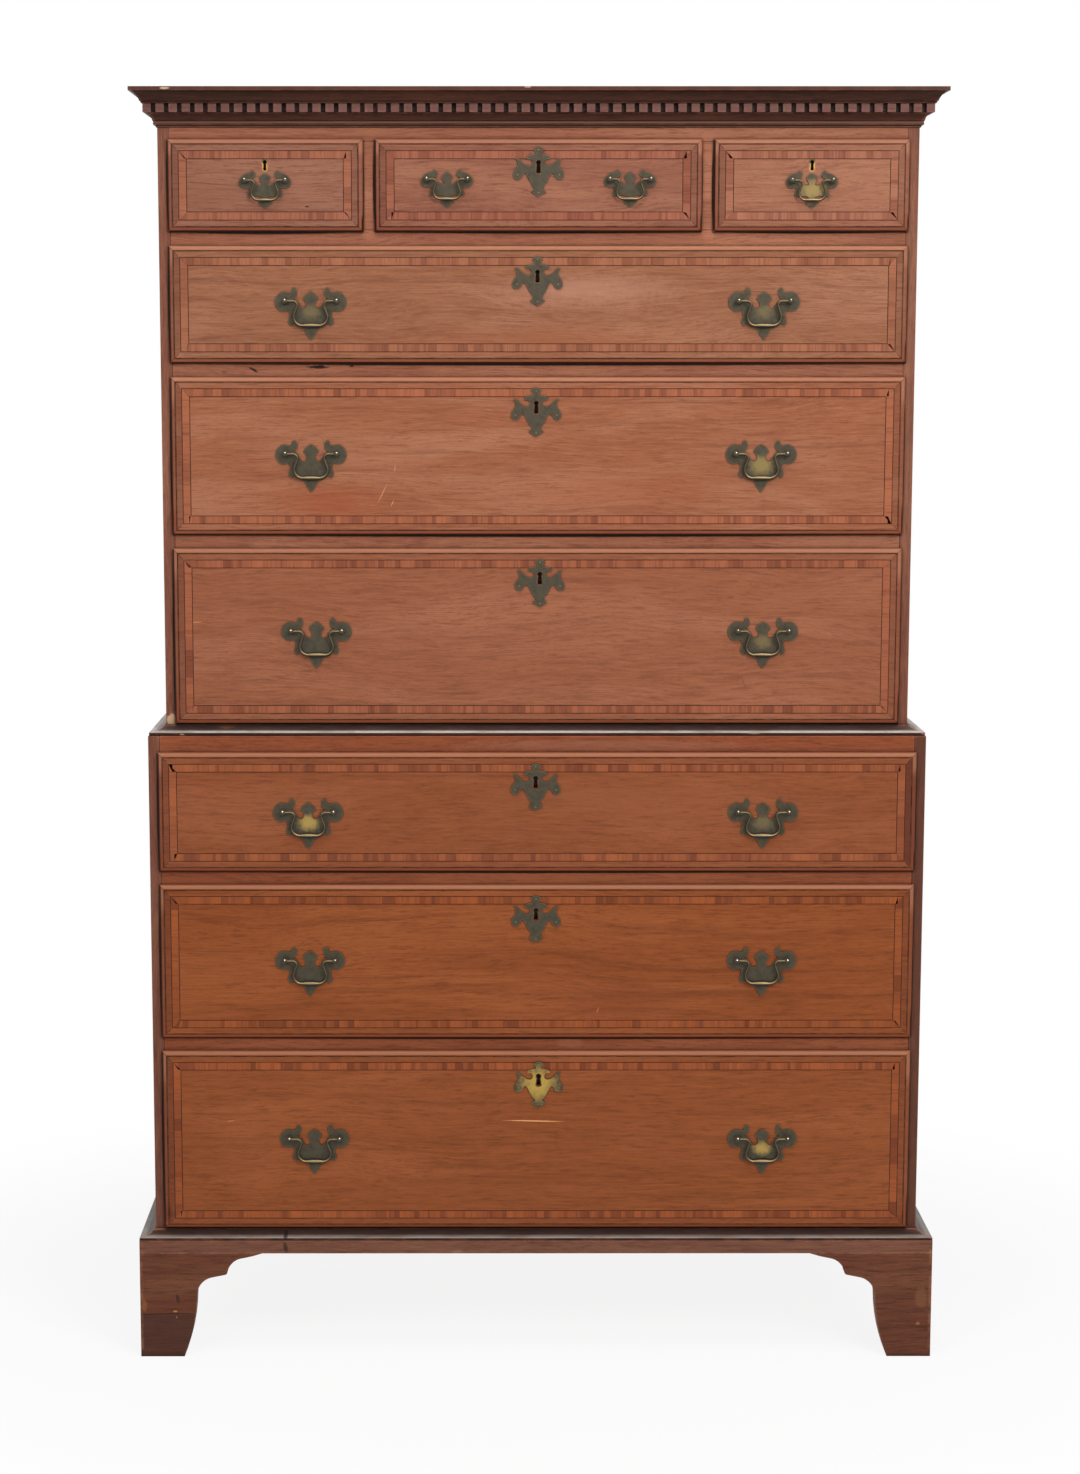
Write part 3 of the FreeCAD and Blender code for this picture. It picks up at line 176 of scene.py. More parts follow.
# Turns that bring a board's grain, which runs along the given axis, onto X.
GRAIN_TURN = {"X": (0.0, 0.0, 0.0), "Y": (0.0, 0.0, -math.pi / 2), "Z": (0.0, math.pi / 2, 0.0)}


class Timber:
    """A wood finish in the making: its tree, shader, position and colour, for a piece's own touches."""

    def __init__(self, name, pale, body, dark, along="X", seed=0.0, figure=1.0, pores=1.0, gloss=0.42):
        self.material = bpy.data.materials.new(name)
        self.material.use_nodes = True
        self.tree = self.material.node_tree
        self.shader = self.tree.nodes["Principled BSDF"]
        self.shader.inputs["Specular IOR Level"].default_value = 0.1
        place = put(self.tree, "TexCoord").outputs
        self.where, self.facing = place["Object"], place["Normal"]
        self.gloss = gloss
        self.wood = put(self.tree, "Group", {
            "Vector": self.turned(along), "Pale": shade(*pale), "Body": shade(*body), "Dark": shade(*dark),
            "Seed": seed, "Figure": figure, "Pores": pores}, node_tree=wood_figure)
        self.colour = self.wood.outputs["Color"]

    def turned(self, along):
        """The position with the grain brought onto X; 'board' takes it from the way a face looks."""
        if along != "board":
            return put(self.tree, "Mapping", {"Vector": self.where, "Rotation": GRAIN_TURN[along]}).outputs[0]
        sideways = calc(self.tree, "ABSOLUTE", put(self.tree, "SeparateXYZ", {0: self.facing}).outputs[0])
        return put(self.tree, "Mix", {0: ease(self.tree, sideways, 0.4, 0.6), 4: self.turned("X"),
                                      5: self.turned("Y")}, data_type="VECTOR").outputs[1]

    def mark(self, x, z, half_x, half_z, colour, amount, turn=0.0, soft=0.5, ragged=0.3, ring=False):
        """Stains one spot, stroke or ring; x, z and the half sizes are in metres, the turn in degrees."""
        spot = put(self.tree, "Group", {
            "Vector": self.where, "Middle": (x, 0.0, z), "Half": (half_x, 1.0, half_z),
            "Turn": math.radians(turn), "Soft": soft, "Ragged": ragged}, node_tree=blemish)
        amount = calc(self.tree, "MULTIPLY", spot.outputs["Ring" if ring else "Spot"], amount)
        self.colour = stain(self.tree, amount, self.colour, shade(*colour))

    def done(self, dirt_and_shade=(36, 24, 20), worn=(176, 128, 98), dirt_and_shade_by=0.75, worn_by=0.35, specks=0.35, bump=0.25,
             crevice=0.012):
        """Adds age, with dirt and painted shade in the hollows, roughness and relief, and gives back the material.
        """
        tree = self.tree
        # Painted shade: this ambient occlusion darkens hollows and contact lines, together with dirt.
        hollow_shade = put(tree, "AmbientOcclusion", {"Distance": crevice}, samples=8).outputs["AO"]
        arris = put(tree, "AmbientOcclusion", {"Distance": 0.004}, samples=8, inside=True).outputs["AO"]
        age = put(tree, "Group", {
            "Vector": self.where, "Color": self.colour, "Crevice": hollow_shade, "Arris": arris, "Dirt_and_shade": shade(*dirt_and_shade),
            "Worn": shade(*worn), "Dirt_and_shade_by": dirt_and_shade_by, "Worn by": worn_by, "Specks": specks}, node_tree=old_surface)
        relief = calc(tree, "ADD", calc(tree, "MULTIPLY", self.wood.outputs["Height"], 0.5), age.outputs["Height"])
        normal = put(tree, "Bump", {"Height": relief, "Strength": bump, "Distance": 0.0006}).outputs[0]
        rough = calc(tree, "ADD", calc(tree, "MULTIPLY", age.outputs["Dull"], 0.3),
                     ease(tree, self.wood.outputs["Cloud"], 0.3, 0.7, self.gloss - 0.05, self.gloss + 0.07))
        tree.links.new(age.outputs["Color"], self.shader.inputs["Base Color"])
        tree.links.new(rough, self.shader.inputs["Roughness"])
        tree.links.new(normal, self.shader.inputs["Normal"])
        return self.material


def finish(node, material):
    """Gives a CAD piece its finish."""
    nodes[node].data.materials.clear()
    nodes[node].data.materials.append(material)


feet = Timber("foot_mahogany", (118, 73, 52), (104, 60, 43), (63, 35, 26), "X", 3.1, 0.9, 0.8, 0.5)
low_wood = put(feet.tree, "SeparateXYZ", {0: feet.where}).outputs
pieced = calc(feet.tree, "MULTIPLY", ease(feet.tree, low_wood[2], 0.0655, 0.0645),
              ease(feet.tree, low_wood[0], -0.4, -0.41))
feet.colour = stain(feet.tree, calc(feet.tree, "MULTIPLY", pieced, 0.62), feet.colour, shade(66, 44, 38))
feet.mark(-0.552, 0.0650, 0.075, 0.0009, (34, 20, 18), 0.85, turn=1.2, ragged=0.2)
feet.mark(-0.530, 0.0690, 0.004, 0.0016, (196, 132, 72), 0.8)
feet.mark(-0.528, 0.0600, 0.0012, 0.0012, (214, 160, 92), 0.7)
feet.mark(-0.526, 0.0880, 0.0035, 0.009, (56, 38, 32), 0.7, turn=12)
feet.mark(-0.575, 0.0780, 0.005, 0.012, (150, 92, 48), 0.5)
feet.mark(0.562, 0.0500, 0.004, 0.003, (164, 108, 62), 0.6)
feet.mark(0.566, 0.0900, 0.012, 0.02, (128, 84, 58), 0.5)
finish("bracket_feet", feet.done(dirt_and_shade=(38, 27, 24), worn=(150, 100, 74), worn_by=0.5, specks=0.5))

sawn_pine = Timber("sawn_pine", (176, 136, 92), (150, 108, 68), (104, 70, 44), "Z", 5.7, 0.9, 0.3, 0.75)
finish("foot_blocks", sawn_pine.done(dirt_and_shade=(58, 42, 32), worn=(188, 150, 104), bump=0.6))

# ---- Base frame and its moulding -----------------------------------------------------------------
# A mitred mahogany frame screwed up under the lower case, with its square edge standing out as
# the apron, and a hollow moulding planted on top of it and nailed back to the case.

apron = Timber("apron_mahogany", (132, 90, 69), (118, 77, 61), (77, 46, 38), "board", 8.3, 0.8, 0.7, 0.5)
apron.mark(-0.367, 0.166, 0.004, 0.011, (44, 32, 28), 0.75, turn=8)
apron.mark(-0.115, 0.160, 0.010, 0.004, (150, 116, 92), 0.35)
finish("base_frame", apron.done(dirt_and_shade=(44, 32, 28), worn=(170, 112, 84), worn_by=0.6))


def moulding_finish(name, seed, nose_top, marks=(), dust_and_highlight_tone=(150, 144, 136)):
    """Dark waxed mahogany with its up-facing nose lightened to grey: old dust, and a painted highlight on the
    round.
    """
    timber = Timber(name, (84, 46, 34), (66, 36, 27), (36, 20, 16), "board", seed, 0.8, 0.6, 0.34)
    up = put(timber.tree, "SeparateXYZ", {0: timber.facing}).outputs[2]
    level = put(timber.tree, "SeparateXYZ", {0: timber.where}).outputs[2]
    cloud = cloudy(timber.tree, timber.where, (16.0, 30.0, 60.0), 4.0, 0.6)
    # Painted highlight with dust: the nose turns grey where it faces up, below its top.
    dust_and_highlight = calc(timber.tree, "MULTIPLY", ease(timber.tree, up, 0.15, 0.6),
                 ease(timber.tree, cloud, 0.3, 0.6, 0.6, 1.0))
    dust_and_highlight = calc(timber.tree, "MULTIPLY", dust_and_highlight,
                 ease(timber.tree, level, nose_top + 0.001, nose_top - 0.0008, 0.06, 0.92))
    timber.colour = stain(timber.tree, dust_and_highlight, timber.colour, shade(*dust_and_highlight_tone))
    for mark in marks:
        timber.mark(*mark)
    return timber.done(dirt_and_shade=(30, 22, 20), worn=(176, 112, 88), dirt_and_shade_by=0.85, worn_by=0.75, specks=0.5,
                       crevice=0.02)


finish("base_moulding", moulding_finish("base_moulding_mahogany", 2.2, 0.1820,
                                        [(-0.367, 0.183, 0.004, 0.006, (30, 22, 20), 0.8)]))

# ---- Lower case ----------------------------------------------------------------------------------
# Two mahogany sides with upright grain are dovetailed to a pine top and bottom. Mahogany rails are
# tenoned between the sides under each drawer, with pine runners behind them. The back is pine boards
# in a rebate, held by nails that are driven flush and have rusted into the wood.

def lip_shadow_lines(timber, drawer, below=0.0033, left=0.0025, right=0.0014):
    """A near-black line painted on the case along a drawer's lip: painted shadow of the lip and its gap, with the
    dust that gathers there.
    """
    low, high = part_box(drawer + "_front")
    across, up = (high.x - low.x) / 2, (high.z - low.z) / 2
    middle_x, middle_z = (low.x + high.x) / 2, (low.z + high.z) / 2
    for x, z, half_x, half_z in ((middle_x, low.z - 0.0002, across * 1.04, below),
                                 (low.x - 0.0002, middle_z, left, up * 1.1),
                                 (high.x + 0.0002, middle_z, right, up * 1.1)):
        if min(half_x, half_z) > 0.0:
            timber.mark(x, z, half_x, half_z, (12, 8, 7), 0.94, soft=0.5, ragged=0.10)


def ease_arrises(node, width, segments=2):
    """Rubs the sharp arrises of a board down to a small round."""
    weld = nodes[node].modifiers.new("joined_faces", "WELD")
    weld.merge_threshold = 0.00002
    brighten = nodes[node].modifiers.new("rubbed_arrises", "BEVEL")
    brighten.limit_method = "ANGLE"
    brighten.angle_limit = math.radians(32)
    brighten.width = width
    brighten.segments = segments


side_wood = Timber("side_mahogany", (148, 98, 76), (128, 79, 61), (85, 50, 41), "Z", 11.9, 0.9, 0.8, 0.45)
side_wood.mark(-0.527, 0.938, 0.010, 0.014, (214, 176, 138), 0.75, ragged=0.5)
side_place = put(side_wood.tree, "SeparateXYZ", {0: side_wood.where}).outputs
front_edge = calc(side_wood.tree, "MULTIPLY", ease(side_wood.tree, side_place[1], -0.250, -0.254),
                  calc(side_wood.tree, "MULTIPLY", ease(side_wood.tree, side_place[2], 0.94, 0.92),
                       ease(side_wood.tree, side_place[0], 0.0, 0.1, 0.20, 0.70)))
side_wood.colour = stain(side_wood.tree, front_edge, side_wood.colour, shade(70, 38, 28))
# Painted shadow: near-black lines down the stiles beside the drawers' lips.
for drawer in ("upper_1", "upper_2", "upper_3", "lower_1", "lower_2", "lower_3"):
    lip_shadow_lines(side_wood, drawer + "_drawer", below=0.0)
lip_shadow_lines(side_wood, "top_left_drawer", below=0.0, right=0.0)
lip_shadow_lines(side_wood, "top_right_drawer", below=0.0, left=0.0)
side_material = side_wood.done(dirt_and_shade=(40, 26, 22), worn=(182, 128, 98), worn_by=0.4)
finish("lower_sides", side_material)
ease_arrises("lower_sides", 0.0012)

lower_rail = Timber("lower_rail_mahogany", (154, 88, 57), (138, 74, 46), (91, 46, 31), "X", 14.4, 0.9, 0.8, 0.46)
lower_rail.mark(0.050, 0.469, 0.024, 0.012, (168, 108, 76), 0.30, soft=0.5)
# Painted shadow: near-black lines on the rails under the drawers' lips.
for drawer in ("lower_1_drawer", "lower_2_drawer", "lower_3_drawer"):
    lip_shadow_lines(lower_rail, drawer, left=0.0, right=0.0)
lower_rail.mark(0.09, 0.906, 0.26, 0.010, (150, 104, 84), 0.3)
finish("lower_rails", lower_rail.done(dirt_and_shade=(40, 26, 22), worn=(178, 122, 92)))
ease_arrises("lower_rails", 0.001)

case_pine = Timber("case_pine", (166, 124, 82), (140, 98, 62), (98, 64, 42), "X", 21.3, 1.0, 0.3, 0.7)
case_pine_material = case_pine.done(dirt_and_shade=(54, 40, 32), worn=(176, 136, 96), bump=0.5)
finish("lower_top_and_bottom", case_pine_material)

runner_pine = Timber("runner_pine", (170, 128, 86), (146, 104, 66), (102, 68, 46), "Y", 24.6, 1.0, 0.3, 0.7)
runner_pine_material = runner_pine.done(dirt_and_shade=(54, 40, 32), worn=(186, 150, 108), bump=0.5)
finish("lower_runners", runner_pine_material)

back_pine = Timber("back_pine", (142, 108, 76), (116, 84, 56), (76, 52, 36), "Z", 31.0, 1.1, 0.4, 0.78)
beside = put(back_pine.tree, "SeparateXYZ", {0: back_pine.where}).outputs
FIRST_NAIL_ROW, OTHER_NAIL_ROWS = 0.222, (0.56, 0.912, 0.952, 1.37, 1.745)
NAIL_COLUMN_START, NAIL_COLUMN_STEP = 0.038, 0.044
row = calc(back_pine.tree, "ABSOLUTE", calc(back_pine.tree, "SUBTRACT", beside[2], FIRST_NAIL_ROW))
for height in OTHER_NAIL_ROWS:
    row = calc(back_pine.tree, "MINIMUM", row, calc(back_pine.tree, "ABSOLUTE",
                                                    calc(back_pine.tree, "SUBTRACT", beside[2], height)))
column = calc(back_pine.tree, "PINGPONG", calc(back_pine.tree, "ADD", beside[0], NAIL_COLUMN_START),
              NAIL_COLUMN_STEP)
from_nail = calc(back_pine.tree, "SQRT", calc(back_pine.tree, "ADD", calc(back_pine.tree, "POWER", row, 2.0),
                                              calc(back_pine.tree, "POWER", column, 2.0)))
back_pine.colour = stain(back_pine.tree, ease(back_pine.tree, from_nail, 0.013, 0.004, 0.0, 0.55),
                         back_pine.colour, shade(62, 42, 32))
back_pine.colour = stain(back_pine.tree, ease(back_pine.tree, from_nail, 0.0042, 0.0034), back_pine.colour,
                         shade(44, 36, 32))
back_pine_material = back_pine.done(dirt_and_shade=(46, 36, 30), worn=(160, 126, 90), worn_by=0.5, specks=0.6, bump=0.7)
finish("lower_back_boards", back_pine_material)

# ---- Waist moulding ------------------------------------------------------------------------------
# The upper case drops inside a hollow moulding that is nailed down round the top of the lower case
# on three sides; its nose has been knocked in two places.

finish("waist_moulding", moulding_finish("waist_moulding_mahogany", 17.5, 0.9260, [
    (-0.447, 0.931, 0.016, 0.004, (134, 92, 64), 0.7), (-0.510, 0.921, 0.004, 0.002, (196, 160, 124), 0.8),
    (0.312, 0.924, 0.012, 0.003, (150, 134, 118), 0.5)], dust_and_highlight_tone=(198, 192, 184)))

# ---- Upper case ----------------------------------------------------------------------------------
# Made as the lower case, a board's thickness narrower on each side. The top row has two upright
# muntins between its drawers, and a plain frieze rail backs the cornice.

finish("upper_sides", side_material)
ease_arrises("upper_sides", 0.0012)

upper_rail = Timber("upper_rail_mahogany", (168, 110, 83), (152, 94, 70), (105, 61, 46), "X", 41.2, 0.9, 0.8, 0.46)
# Painted shadow: near-black lines on the rails under and beside the drawers' lips.
for drawer in ("upper_1_drawer", "upper_2_drawer", "upper_3_drawer"):
    lip_shadow_lines(upper_rail, drawer, below=0.0040, left=0.0, right=0.0)
lip_shadow_lines(upper_rail, "top_left_drawer", below=0.0040, left=0.0, right=0.0016)
lip_shadow_lines(upper_rail, "top_middle_drawer", below=0.0026, left=0.0034)
lip_shadow_lines(upper_rail, "top_right_drawer", below=0.0026, left=0.0030, right=0.0)
# Painted shadow: ragged near-black strokes just under the first long drawer's lip.
upper_rail.mark(-0.404, 1.441, 0.012, 0.0022, (26, 18, 16), 0.9, turn=-25, ragged=0.6)
upper_rail.mark(-0.312, 1.4445, 0.018, 0.003, (20, 14, 12), 0.95, ragged=0.5)
upper_rail.mark(-0.264, 1.4460, 0.004, 0.0025, (20, 14, 12), 0.9)
upper_rail.mark(-0.445, 1.437, 0.005, 0.004, (110, 70, 58), 0.6)
finish("upper_rails", upper_rail.done(dirt_and_shade=(40, 26, 22), worn=(190, 140, 114)))
ease_arrises("upper_rails", 0.001)

finish("upper_top_and_bottom", case_pine_material)
finish("upper_runners_and_partitions", runner_pine_material)
finish("upper_back_boards", back_pine_material)

# ---- Cornice and dentils -------------------------------------------------------------------------
# A mitred mahogany cornice: a thin top fillet over a deep hollow, a row of dentils sawn in a strip
# and glued in its own recess, then a second hollow and a bead. Smoke and wax have darkened it.

cornice = Timber("cornice_mahogany", (83, 48, 35), (66, 38, 28), (39, 22, 16), "board", 51.3, 0.9, 0.6, 0.42)
level = put(cornice.tree, "SeparateXYZ", {0: cornice.where}).outputs[2]
cornice.colour = stain(cornice.tree, ease(cornice.tree, level, 1.8252, 1.8262, 0.0, 0.8), cornice.colour,
                       shade(76, 50, 41))
cornice.colour = stain(cornice.tree, ease(cornice.tree, level, 1.8302, 1.8308, 0.0, 0.5), cornice.colour,
                       shade(116, 84, 70))
cornice.colour = stain(cornice.tree, ease(cornice.tree, level, 1.7862, 1.7852, 0.0, 0.55), cornice.colour,
                       shade(126, 84, 68))
cornice_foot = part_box("cornice")[0].z
# Painted light and shade at the cornice's foot: light lines as highlights on the beads, near-black lines as shadow
# in the grooves.
BEAD_LIGHT_AND_SHADE_LINES = [(0.0005, (22, 14, 12), 0.8), (0.0027, (124, 80, 62), 0.7), (0.0046, (20, 13, 11), 0.85),
              (0.0066, (118, 76, 60), 0.7), (0.0092, (24, 16, 14), 0.75)]
for above, tone, amount in BEAD_LIGHT_AND_SHADE_LINES:
    cornice.mark(0.0, cornice_foot + above, 0.9, 0.0010, tone, amount, soft=0.5, ragged=0.08)
cornice.mark(-0.520, 1.8285, 0.008, 0.002, (216, 190, 160), 0.6)
cornice.mark(-0.016, 1.8300, 0.006, 0.0016, (196, 160, 128), 0.7)
finish("cornice", cornice.done(dirt_and_shade=(24, 17, 15), worn=(140, 88, 68), dirt_and_shade_by=0.8, worn_by=0.4))

dentil = Timber("dentil_mahogany", (132, 92, 84), (120, 82, 74), (84, 52, 46), "board", 55.8, 0.8, 0.6, 0.5)
finish("dentil_strips", dentil.done(dirt_and_shade=(38, 33, 30), worn=(150, 110, 96), dirt_and_shade_by=1.0, crevice=0.009))
ease_arrises("dentil_strips", 0.0007)

# ---- Drawer fronts -------------------------------------------------------------------------------
# Each front is a mahogany board, rebated to shut over the case, with a moulded lip planted round it
# and mitred at the corners. The face is veneered; old handles left rings and bruises in the polish.

panel, takes, gives = shader_group(
    "panel",
    [("Vector", "Vector", None), ("Middle", "Vector", None), ("Half", "Vector", None)],
    [("Edge", "Float"), ("Mitre", "Float"), ("Rise", "Float"), ("Left", "Float"), ("Right", "Float")])
tree = panel
apart = put(tree, "VectorMath", {0: takes["Vector"], 1: takes["Middle"]}, operation="SUBTRACT").outputs[0]
out = put(tree, "SeparateXYZ", {0: put(tree, "VectorMath", {0: apart}, operation="ABSOLUTE").outputs[0]}).outputs
half = put(tree, "SeparateXYZ", {0: takes["Half"]}).outputs
in_x = calc(tree, "SUBTRACT", half[0], out[0])
in_z = calc(tree, "SUBTRACT", half[2], out[2])
edge = calc(tree, "MINIMUM", in_x, in_z)
corner = ease(tree, calc(tree, "ABSOLUTE", calc(tree, "SUBTRACT", in_x, in_z)), 0.0009, 0.0002)
tree.links.new(edge, gives["Edge"])
tree.links.new(calc(tree, "MULTIPLY", corner, ease(tree, edge, 0.0150, 0.0120)), gives["Mitre"])
aside = put(tree, "SeparateXYZ", {0: apart}).outputs
tree.links.new(calc(tree, "DIVIDE", aside[2], half[2]), gives["Rise"])
upright = calc(tree, "MULTIPLY", ease(tree, calc(tree, "SUBTRACT", in_z, in_x), -0.0003, 0.0003),
               ease(tree, edge, 0.0166, 0.0158))
tree.links.new(calc(tree, "MULTIPLY", upright, calc(tree, "LESS_THAN", aside[0], 0.0)), gives["Left"])
tree.links.new(calc(tree, "MULTIPLY", upright, calc(tree, "GREATER_THAN", aside[0], 0.0)), gives["Right"])


def front_finish(drawer, pale, body, dark, seed, figure=1.0, marks=(), left=0.4, right=0.25):
    """A veneered front: a field, a duller margin, a quirk painted dark as shadow, and a rounded lip with mitred
    corners and painted light and shade.
    """
    low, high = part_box(drawer + "_front")
    timber = Timber(drawer + "_mahogany", pale, body, dark, "X", seed, figure, 1.0, 0.36)
    tree = timber.tree
    rim = put(tree, "Group", {"Vector": timber.where, "Middle": (low + high) / 2, "Half": (high - low) / 2},
              node_tree=panel).outputs
    margin = ease(tree, rim["Edge"], 0.0175, 0.0150, 0.0, 0.08)
    timber.colour = stain(tree, margin, timber.colour, shade(112, 66, 50))
    # Painted shade: the upright sides of the lip are darkened by the given amounts, left and right.
    upright_shade = calc(tree, "ADD", calc(tree, "MULTIPLY", rim["Left"], left),
                  calc(tree, "MULTIPLY", rim["Right"], right))
    timber.colour = stain(tree, upright_shade, timber.colour, shade(84, 42, 32))
    for mark in marks:
        timber.mark(**mark)
    # Painted light on the lip: the bottom lip is stained a deeper orange-brown where light catches its round, and
    # the top lip gets a light tan highlight.
    lip = ease(tree, rim["Edge"], 0.0072, 0.0062)
    under = ease(tree, rim["Rise"], -0.55, -0.8)
    timber.colour = stain(tree, calc(tree, "MULTIPLY", lip, 0.25), timber.colour, shade(150, 84, 58))
    timber.colour = stain(tree, calc(tree, "MULTIPLY", calc(tree, "MULTIPLY", lip, under), 0.5), timber.colour,
                          shade(134, 62, 34))
    above = ease(tree, rim["Rise"], 0.55, 0.8)
    timber.colour = stain(tree, calc(tree, "MULTIPLY", calc(tree, "MULTIPLY", lip, above), 0.45), timber.colour,
                          shade(186, 126, 96))
    # Painted shade: the lip's outer edge darkens, most along the bottom and the left side.
    edge_shade = calc(tree, "ADD", ease(tree, rim["Edge"], 0.0014, 0.0004, 0.0, 0.35),
                     calc(tree, "MULTIPLY", under, ease(tree, rim["Edge"], 0.0030, 0.0016)))
    edge_shade = calc(tree, "ADD", edge_shade,
                     calc(tree, "MULTIPLY", rim["Left"], ease(tree, rim["Edge"], 0.0030, 0.0014)))
    timber.colour = stain(tree, calc(tree, "MINIMUM", edge_shade, 0.92), timber.colour, shade(30, 16, 12))
    # Painted shadow: the quirk between the lip and the margin is drawn as a dark line.
    quirk_shadow = calc(tree, "MULTIPLY", ease(tree, rim["Edge"], 0.0060, 0.0066),
                 ease(tree, rim["Edge"], 0.0086, 0.0076))
    timber.colour = stain(tree, calc(tree, "MULTIPLY", quirk_shadow, 0.85), timber.colour, shade(36, 18, 14))
    timber.colour = stain(tree, calc(tree, "MULTIPLY", rim["Mitre"], 0.75), timber.colour, shade(34, 19, 16))
    finish(drawer + "_front", timber.done(dirt_and_shade=(44, 27, 22), worn=(186, 122, 90), dirt_and_shade_by=0.8, worn_by=0.45,
                                          specks=0.3, bump=0.18, crevice=0.005))


def ghost(x, z, radius, amount=0.4):
    """The thin ring that an earlier handle wore into the polish."""
    return dict(x=x, z=z, half_x=radius, half_z=radius, colour=(64, 38, 30), amount=amount, soft=0.035,
                ragged=0.05, ring=True)


def scratch(x, z, length, turn, amount=0.75, colour=(214, 150, 98), width=0.0007):
    """A light stroke through the polish."""
    return dict(x=x, z=z, half_x=length / 2, half_z=width, colour=colour, amount=amount, turn=turn, soft=0.6,
                ragged=0.25)


def cloud(x, z, half_x, half_z, colour, amount=0.4):
    """A wide soft patch of lighter or darker colour."""
    return dict(x=x, z=z, half_x=half_x, half_z=half_z, colour=colour, amount=amount, soft=1.0, ragged=0.25)


front_finish("top_left_drawer", (149, 101, 80), (136, 88, 68), (94, 55, 43), 61.0, 1.0, [
    cloud(-0.47, 1.69, 0.07, 0.05, (128, 82, 62)), scratch(-0.455, 1.699, 0.13, -4, 0.5, (66, 38, 30), 0.0009),
    scratch(-0.325, 1.668, 0.008, -8, 0.8, (20, 14, 12), 0.0016)])
front_finish("top_middle_drawer", (154, 102, 79), (139, 89, 69), (98, 56, 44), 64.0, 1.0, [
    scratch(-0.14, 1.678, 0.15, 5, 0.4, (72, 42, 34), 0.0008)])
front_finish("top_right_drawer", (161, 109, 84), (148, 96, 73), (108, 65, 48), 67.0, 0.9, [
    ghost(0.384, 1.712, 0.016, 0.35)])
# Upper 1: the pale pink cloud across its upper middle is a painted sheen; the other two patches are tone.
front_finish("upper_1_drawer", (161, 110, 84), (148, 97, 70), (108, 64, 45), 70.0, 1.0, [
    ghost(-0.322, 1.5455, 0.019), cloud(0.07, 1.552, 0.18, 0.035, (184, 134, 112), 0.5),
    cloud(0.0, 1.48, 0.35, 0.03, (150, 86, 56), 0.4)])
front_finish("upper_2_drawer", (166, 110, 82), (153, 94, 66), (114, 65, 45), 73.0, 1.1, [
    ghost(-0.322, 1.3330, 0.019), cloud(-0.30, 1.255, 0.12, 0.04, (152, 76, 46), 0.5),
    cloud(0.10, 1.27, 0.20, 0.05, (150, 82, 54), 0.35), scratch(-0.203, 1.302, 0.013, 82),
    scratch(-0.221, 1.266, 0.042, 64), scratch(-0.207, 1.252, 0.012, 62, 0.9)])
front_finish("upper_3_drawer", (160, 102, 75), (148, 90, 63), (110, 63, 44), 76.0, 0.9, [
    scratch(-0.49, 1.082, 0.029, 2), scratch(0.297, 0.995, 0.03, -72, 0.5, (70, 40, 30))])
front_finish("lower_1_drawer", (152, 89, 58), (140, 78, 46), (103, 55, 35), 79.0, 0.9, [
    ghost(-0.329, 0.8195, 0.019), cloud(0.1, 0.83, 0.25, 0.04, (152, 92, 62), 0.35)], 0.35, 0.75)
front_finish("lower_2_drawer", (151, 84, 46), (141, 76, 39), (100, 50, 26), 82.0, 1.2, [
    ghost(-0.327, 0.6040, 0.019), scratch(0.089, 0.519, 0.012, 70, 0.95),
    cloud(0.12, 0.53, 0.14, 0.05, (122, 62, 36), 0.5)])
front_finish("lower_3_drawer", (153, 87, 50), (142, 78, 42), (101, 53, 29), 85.0, 1.0, [
    scratch(-0.004, 0.353, 0.105, -1.2, 0.95, (228, 164, 108), 0.0012), scratch(-0.446, 0.353, 0.014, 6, 0.7),
    cloud(-0.541, 0.215, 0.010, 0.020, (58, 36, 28), 0.8),
    scratch(-0.545, 0.197, 0.012, 50, 0.8, (190, 140, 84), 0.003)])

# ---- Crossbanding and stringing ------------------------------------------------------------------
# A band of short veneers, cut across the grain, is let into each face and mitred at the corners,
# between two thin dark strings. The veneers come from several leaves, so their tone changes along it.

BAND_IN = 0.0169
BAND_WIDTH = 0.0102
STRING_WIDTH = 0.0010
INLAY_PROUD = 0.00012
INLAY_DEEP = 0.0003


def inlay(name, drawer, bm, material):
    """Stands a flat inlay, drawn face up on the ground, in the face of its drawer."""
    low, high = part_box(drawer + "_front")
    bmesh.ops.solidify(bm, geom=list(bm.faces), thickness=INLAY_DEEP)
    bmesh.ops.transform(bm, matrix=Matrix.Translation((0.0, 0.0, -max(v.co.z for v in bm.verts))), verts=bm.verts)
    stand = Matrix.Translation(((low.x + high.x) / 2, low.y - INLAY_PROUD, (low.z + high.z) / 2))
    bmesh.ops.transform(bm, matrix=stand @ Matrix.Rotation(math.radians(90), 4, "X"), verts=bm.verts)
    bmesh.ops.recalc_face_normals(bm, faces=bm.faces)
    mesh = bpy.data.meshes.new(name)
    bm.to_mesh(mesh)
    bm.free()
    mesh.materials.append(material)
    piece = bpy.data.objects.new(name, mesh)
    bpy.context.scene.collection.objects.link(piece)
    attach(piece, drawer)
    return piece


def string_frame(bm, half_x, half_z):
    """A thin mitred line round a rectangle with these half sizes."""
    made = bmesh.ops.create_grid(bm, x_segments=1, y_segments=1, size=1.0,
                                 matrix=Matrix.Diagonal((half_x, half_z, 1.0, 1.0)))
    sheet = list({f for v in made["verts"] for f in v.link_faces})
    bmesh.ops.inset_region(bm, faces=sheet, thickness=STRING_WIDTH, use_boundary=True, use_even_offset=True)
    bmesh.ops.delete(bm, geom=sheet, context="FACES")


